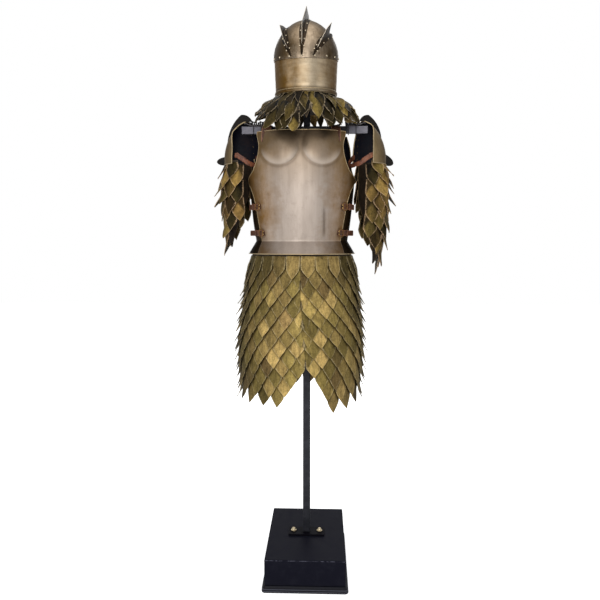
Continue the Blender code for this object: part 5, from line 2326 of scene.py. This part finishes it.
        def keep(halves: Points, row: Points) -> Points:
            """Whether a leaf is there: the point narrows by half a column a row."""
            return np.abs(halves - half) <= half - np.maximum(0, row + cut(halves) - full)

        u = np.linspace(0, self.columns, 44)
        hem = full + 5.6 - np.abs(2 * u - half) - cut(2 * u)
        row = -2 + (hem + 2) * np.linspace(1, 0, 40)[:, None]
        heads = lattice(2 * half, full + 4, keep)
        leaves = LeafField(
            self.sleeve, 31 if sign > 0 else 32, lift=0.0032, curl=0.0030, wild=1.8, tones=(0.16, 1.60),
            sway=0.16, length=1.15, fold=0.42,
            spikes=lambda at: 0.002 - 0.004 * np.clip(at[:, 1] / full, 0, 1),
        )
        length = self.row * (full + 7)
        what, node = "sleeve_{}_" + word, "scale_sleeve_" + word
        flat, area = (self.flat_width, length), self.flat_width * length * self.flat_share
        scales = Scales(what, node, flat, area, "pauldron_" + word, "sleeve leaf leather")
        scales.build(shop, self.sleeve(u, row), leaves, heads)

    def build(self, shop: Workshop) -> None:
        """Build the whole shoulder.

        Args:
            shop: Makes the pieces.
        """
        self.build_dome(shop)
        left = self.side is Side.LEFT
        top, side = ((0.18, 1.055), (-0.15, 0.10)) if left else ((0.42, 1.018), (-0.15, 0.17))
        self.build_blade(shop, "top", top, (0.026, 0.146) if left else (0.024, 0.143), 0.62)
        self.build_blade(shop, "side", side, (0.133, -0.003) if left else (0.128, -0.012), 0.80)
        self.build_arm_strap(shop)
        self.build_bar_strap(shop)
        self.build_sleeve(shop)


# ---------------------------------------------------------------- stand and studio


@dataclass
class Stand:
    """The black plinth, foot plate, pole and bar."""

    width: float = 0.264
    depth: float = 0.409
    corner: float = 0.004
    height: float = 0.020
    bolt_x: float = 0.0455
    bolt_z: float = 0.1136
    bolt_radius: float = 0.0075
    bolt_height: float = 0.011
    moulding: Points = table(
        (0.0, 0.0), (0.0084, 0.0), (0.0090, 0.0008), (0.0090, 0.0052), (0.0084, 0.0060), (0.0074, 0.0066),
        (0.0074, 0.0074), (0.0083, 0.0084), (0.0086, 0.0100), (0.0080, 0.0116), (0.0066, 0.0126),
        (0.0052, 0.0132), (0.0036, 0.0144), (0.0026, 0.0160), (0.0022, 0.0182), (0.0014, 0.0196),
        (0.0, 0.0200),
    )
    bolt: Points = table(
        (1.25, 0.0), (1.27, 0.0006), (1.27, 0.0020), (1.20, 0.0025), (1.02, 0.0026), (1.00, 0.0030),
        (1.00, 0.0052), (0.94, 0.0066), (0.80, 0.0084), (0.58, 0.0099), (0.30, 0.0108), (0.08, 0.01099),
    )

    def build_moulding(self, shop: Workshop) -> None:
        """A moulded foot: one profile of two beads and a hollow carried round the rectangle.

        Args:
            shop: Makes the pieces.
        """
        angle = np.add.outer(np.arange(4) * np.pi / 2, np.linspace(-np.pi / 2, 0, 9)).ravel()
        lean = np.stack([np.cos(angle), np.sin(angle)], -1)
        half = np.array([self.width, self.depth]) / 2 - self.corner
        ring = np.repeat(half * [(1, -1), (1, 1), (-1, 1), (-1, -1)], 9, axis=0) + self.corner * lean
        flat = ring + lean * self.moulding[:, :1, None]
        form = Form()
        add_rings(form, lifted(flat, self.moulding[:, 1:]), np.outer((0.0, self.height), UP))
        shop.dressed("base_moulding", form, Slot.WOOD, "black moulding lacquer", sharp=50.0)

    def build_bolts(self, shop: Workshop) -> None:
        """Two domed brass bolts, each a turned profile with a washer and a shoulder.

        Args:
            shop: Makes the pieces.
        """
        for side in Side:
            form = Form()
            foot = np.array([self.bolt_x * side.value, 0, self.bolt_z])
            add_turned(
                form, foot, UP, self.bolt * (self.bolt_radius, 1), np.array([0.0, self.bolt_height]), 40
            )
            shop.dressed("base_bolt_" + side.word, form, Slot.BRASS, "pale bolt brass")

    def build(self, shop: Workshop) -> None:
        """Build the moulding and the bolts, and dress the CAD nodes that stay.

        Args:
            shop: Makes the pieces.
        """
        self.build_moulding(shop)
        self.build_bolts(shop)
        for node, finish in (
            ("base_block", "black lacquered wood"), ("head_rest", "black lacquered wood"),
            ("pole", "satin black iron"), ("head_post", "satin black iron"),
            ("foot_plate", "black painted foot"), ("shoulder_bar", "grey rubbed iron"),
        ):
            shop.dress(node, finish)


@dataclass
class Studio:
    """A pale floor, soft lights and the camera at the photograph's angle."""

    camera_at: tuple[float, float, float] = (0.057, -2.2, 1.140)
    yaw: float = 2.09
    pitch: float = 5.38
    lens: float = 38.76
    floor_half: float = 9.0
    lights: tuple = (
        ("front", (-0.35, -3.6, 1.9), 1.15, (3.0, 3.2), 62.0),
        ("top", (0.0, -0.6, 3.8), 1.0, (3.0, 3.0), 34.0),
        ("left", (-3.2, -1.6, 1.5), 1.1, (1.0, 2.4), 16.0),
        ("right", (3.2, -1.6, 1.5), 1.1, (1.0, 2.4), 12.0),
        ("back", (0.0, 3.4, 2.2), 1.1, (2.6, 2.4), 40.0),
    )

    def place(self, thing: bpy.types.Object, at: Sequence[float], pitch: float, yaw: float) -> None:
        """Put a camera or a lamp into the scene, turned up and round by angles in radians.

        Args:
            thing: The camera or lamp.
            at: Where it stands.
            pitch: Angle up.
            yaw: Angle round.
        """
        thing.location = at
        thing.rotation_euler = (math.pi / 2 + pitch, 0.0, yaw)
        bpy.context.scene.collection.objects.link(thing)

    def build_camera(self) -> None:
        """The camera, level but for a small look down."""
        data = bpy.data.cameras.new("camera")
        data.lens = self.lens
        data.sensor_width = 36.0
        camera = bpy.data.objects.new("camera", data)
        self.place(camera, self.camera_at, -math.radians(self.pitch), math.radians(self.yaw))
        bpy.context.scene.camera = camera

    def light(
        self, name: str, at: Sequence[float], look_z: float, size: tuple[float, float], watts: float
    ) -> None:
        """A soft box.

        Args:
            name: Its name.
            at: Where it stands.
            look_z: The height on the middle line where it points.
            size: Its width and height.
            watts: Its power.
        """
        data = bpy.data.lights.new(name, "AREA")
        data.shape = "RECTANGLE"
        data.size, data.size_y = size
        data.energy = watts
        lamp = bpy.data.objects.new(name, data)
        lamp.visible_camera = False
        x, y, z = at
        self.place(lamp, at, math.atan2(look_z - z, math.hypot(x, y)), math.atan2(-y, -x) - math.pi / 2)

    def build_world(self) -> None:
        """White to the eye, and a dimmer grey to everything that is lit or mirrored."""
        world = bpy.data.worlds.new("studio")
        world.use_nodes = True
        world.node_tree.nodes.clear()
        wiring = Wiring(world.node_tree)
        seen = wiring.node("Background", {"Color": (1, 1, 1, 1), "Strength": 1.0})
        lit = wiring.node("Background", {"Color": (0.93, 0.96, 1.0, 1), "Strength": 0.42})
        camera = wiring.node("LightPath").outputs["Is Camera Ray"]
        mixed = wiring.node("MixShader", {0: camera, 1: lit.outputs[0], 2: seen.outputs[0]})
        wiring.node("OutputWorld", {"Surface": mixed.outputs[0]})
        bpy.context.scene.world = world

    def build(self, shop: Workshop) -> None:
        """Floor, world, lights and camera.

        Args:
            shop: Makes the pieces.
        """
        self.build_camera()
        self.build_world()
        bpy.context.scene.view_settings.view_transform = "Standard"
        form = Form()
        line = np.linspace(-self.floor_half, self.floor_half, 10)
        form.add(xyz(line, line[:, None], 0.0), [(grid_faces(10, 10), 0)])
        mesh = form.mesh("floor")
        mesh.materials.append(shop.materials["pale studio floor"])
        floor = bpy.data.objects.new("floor", mesh)
        bpy.context.scene.collection.objects.link(floor)
        for name, at, look_z, size, watts in self.lights:
            self.light(name + " soft box", at, look_z, size, watts)


def main() -> None:
    """Build every sub-assembly in order and report each piece."""
    logging.basicConfig(level=logging.INFO, format="%(message)s")
    shop, helmet, cuirass = Workshop(), Helmet(), Cuirass()
    suit = (helmet, Collar(helmet), cuirass, Skirt(cuirass), Shoulder(Side.LEFT, 4), Shoulder(Side.RIGHT, 6))
    for part in (Studio(), Stand(), *suit):
        part.build(shop)


if __name__ == "__main__":
    main()
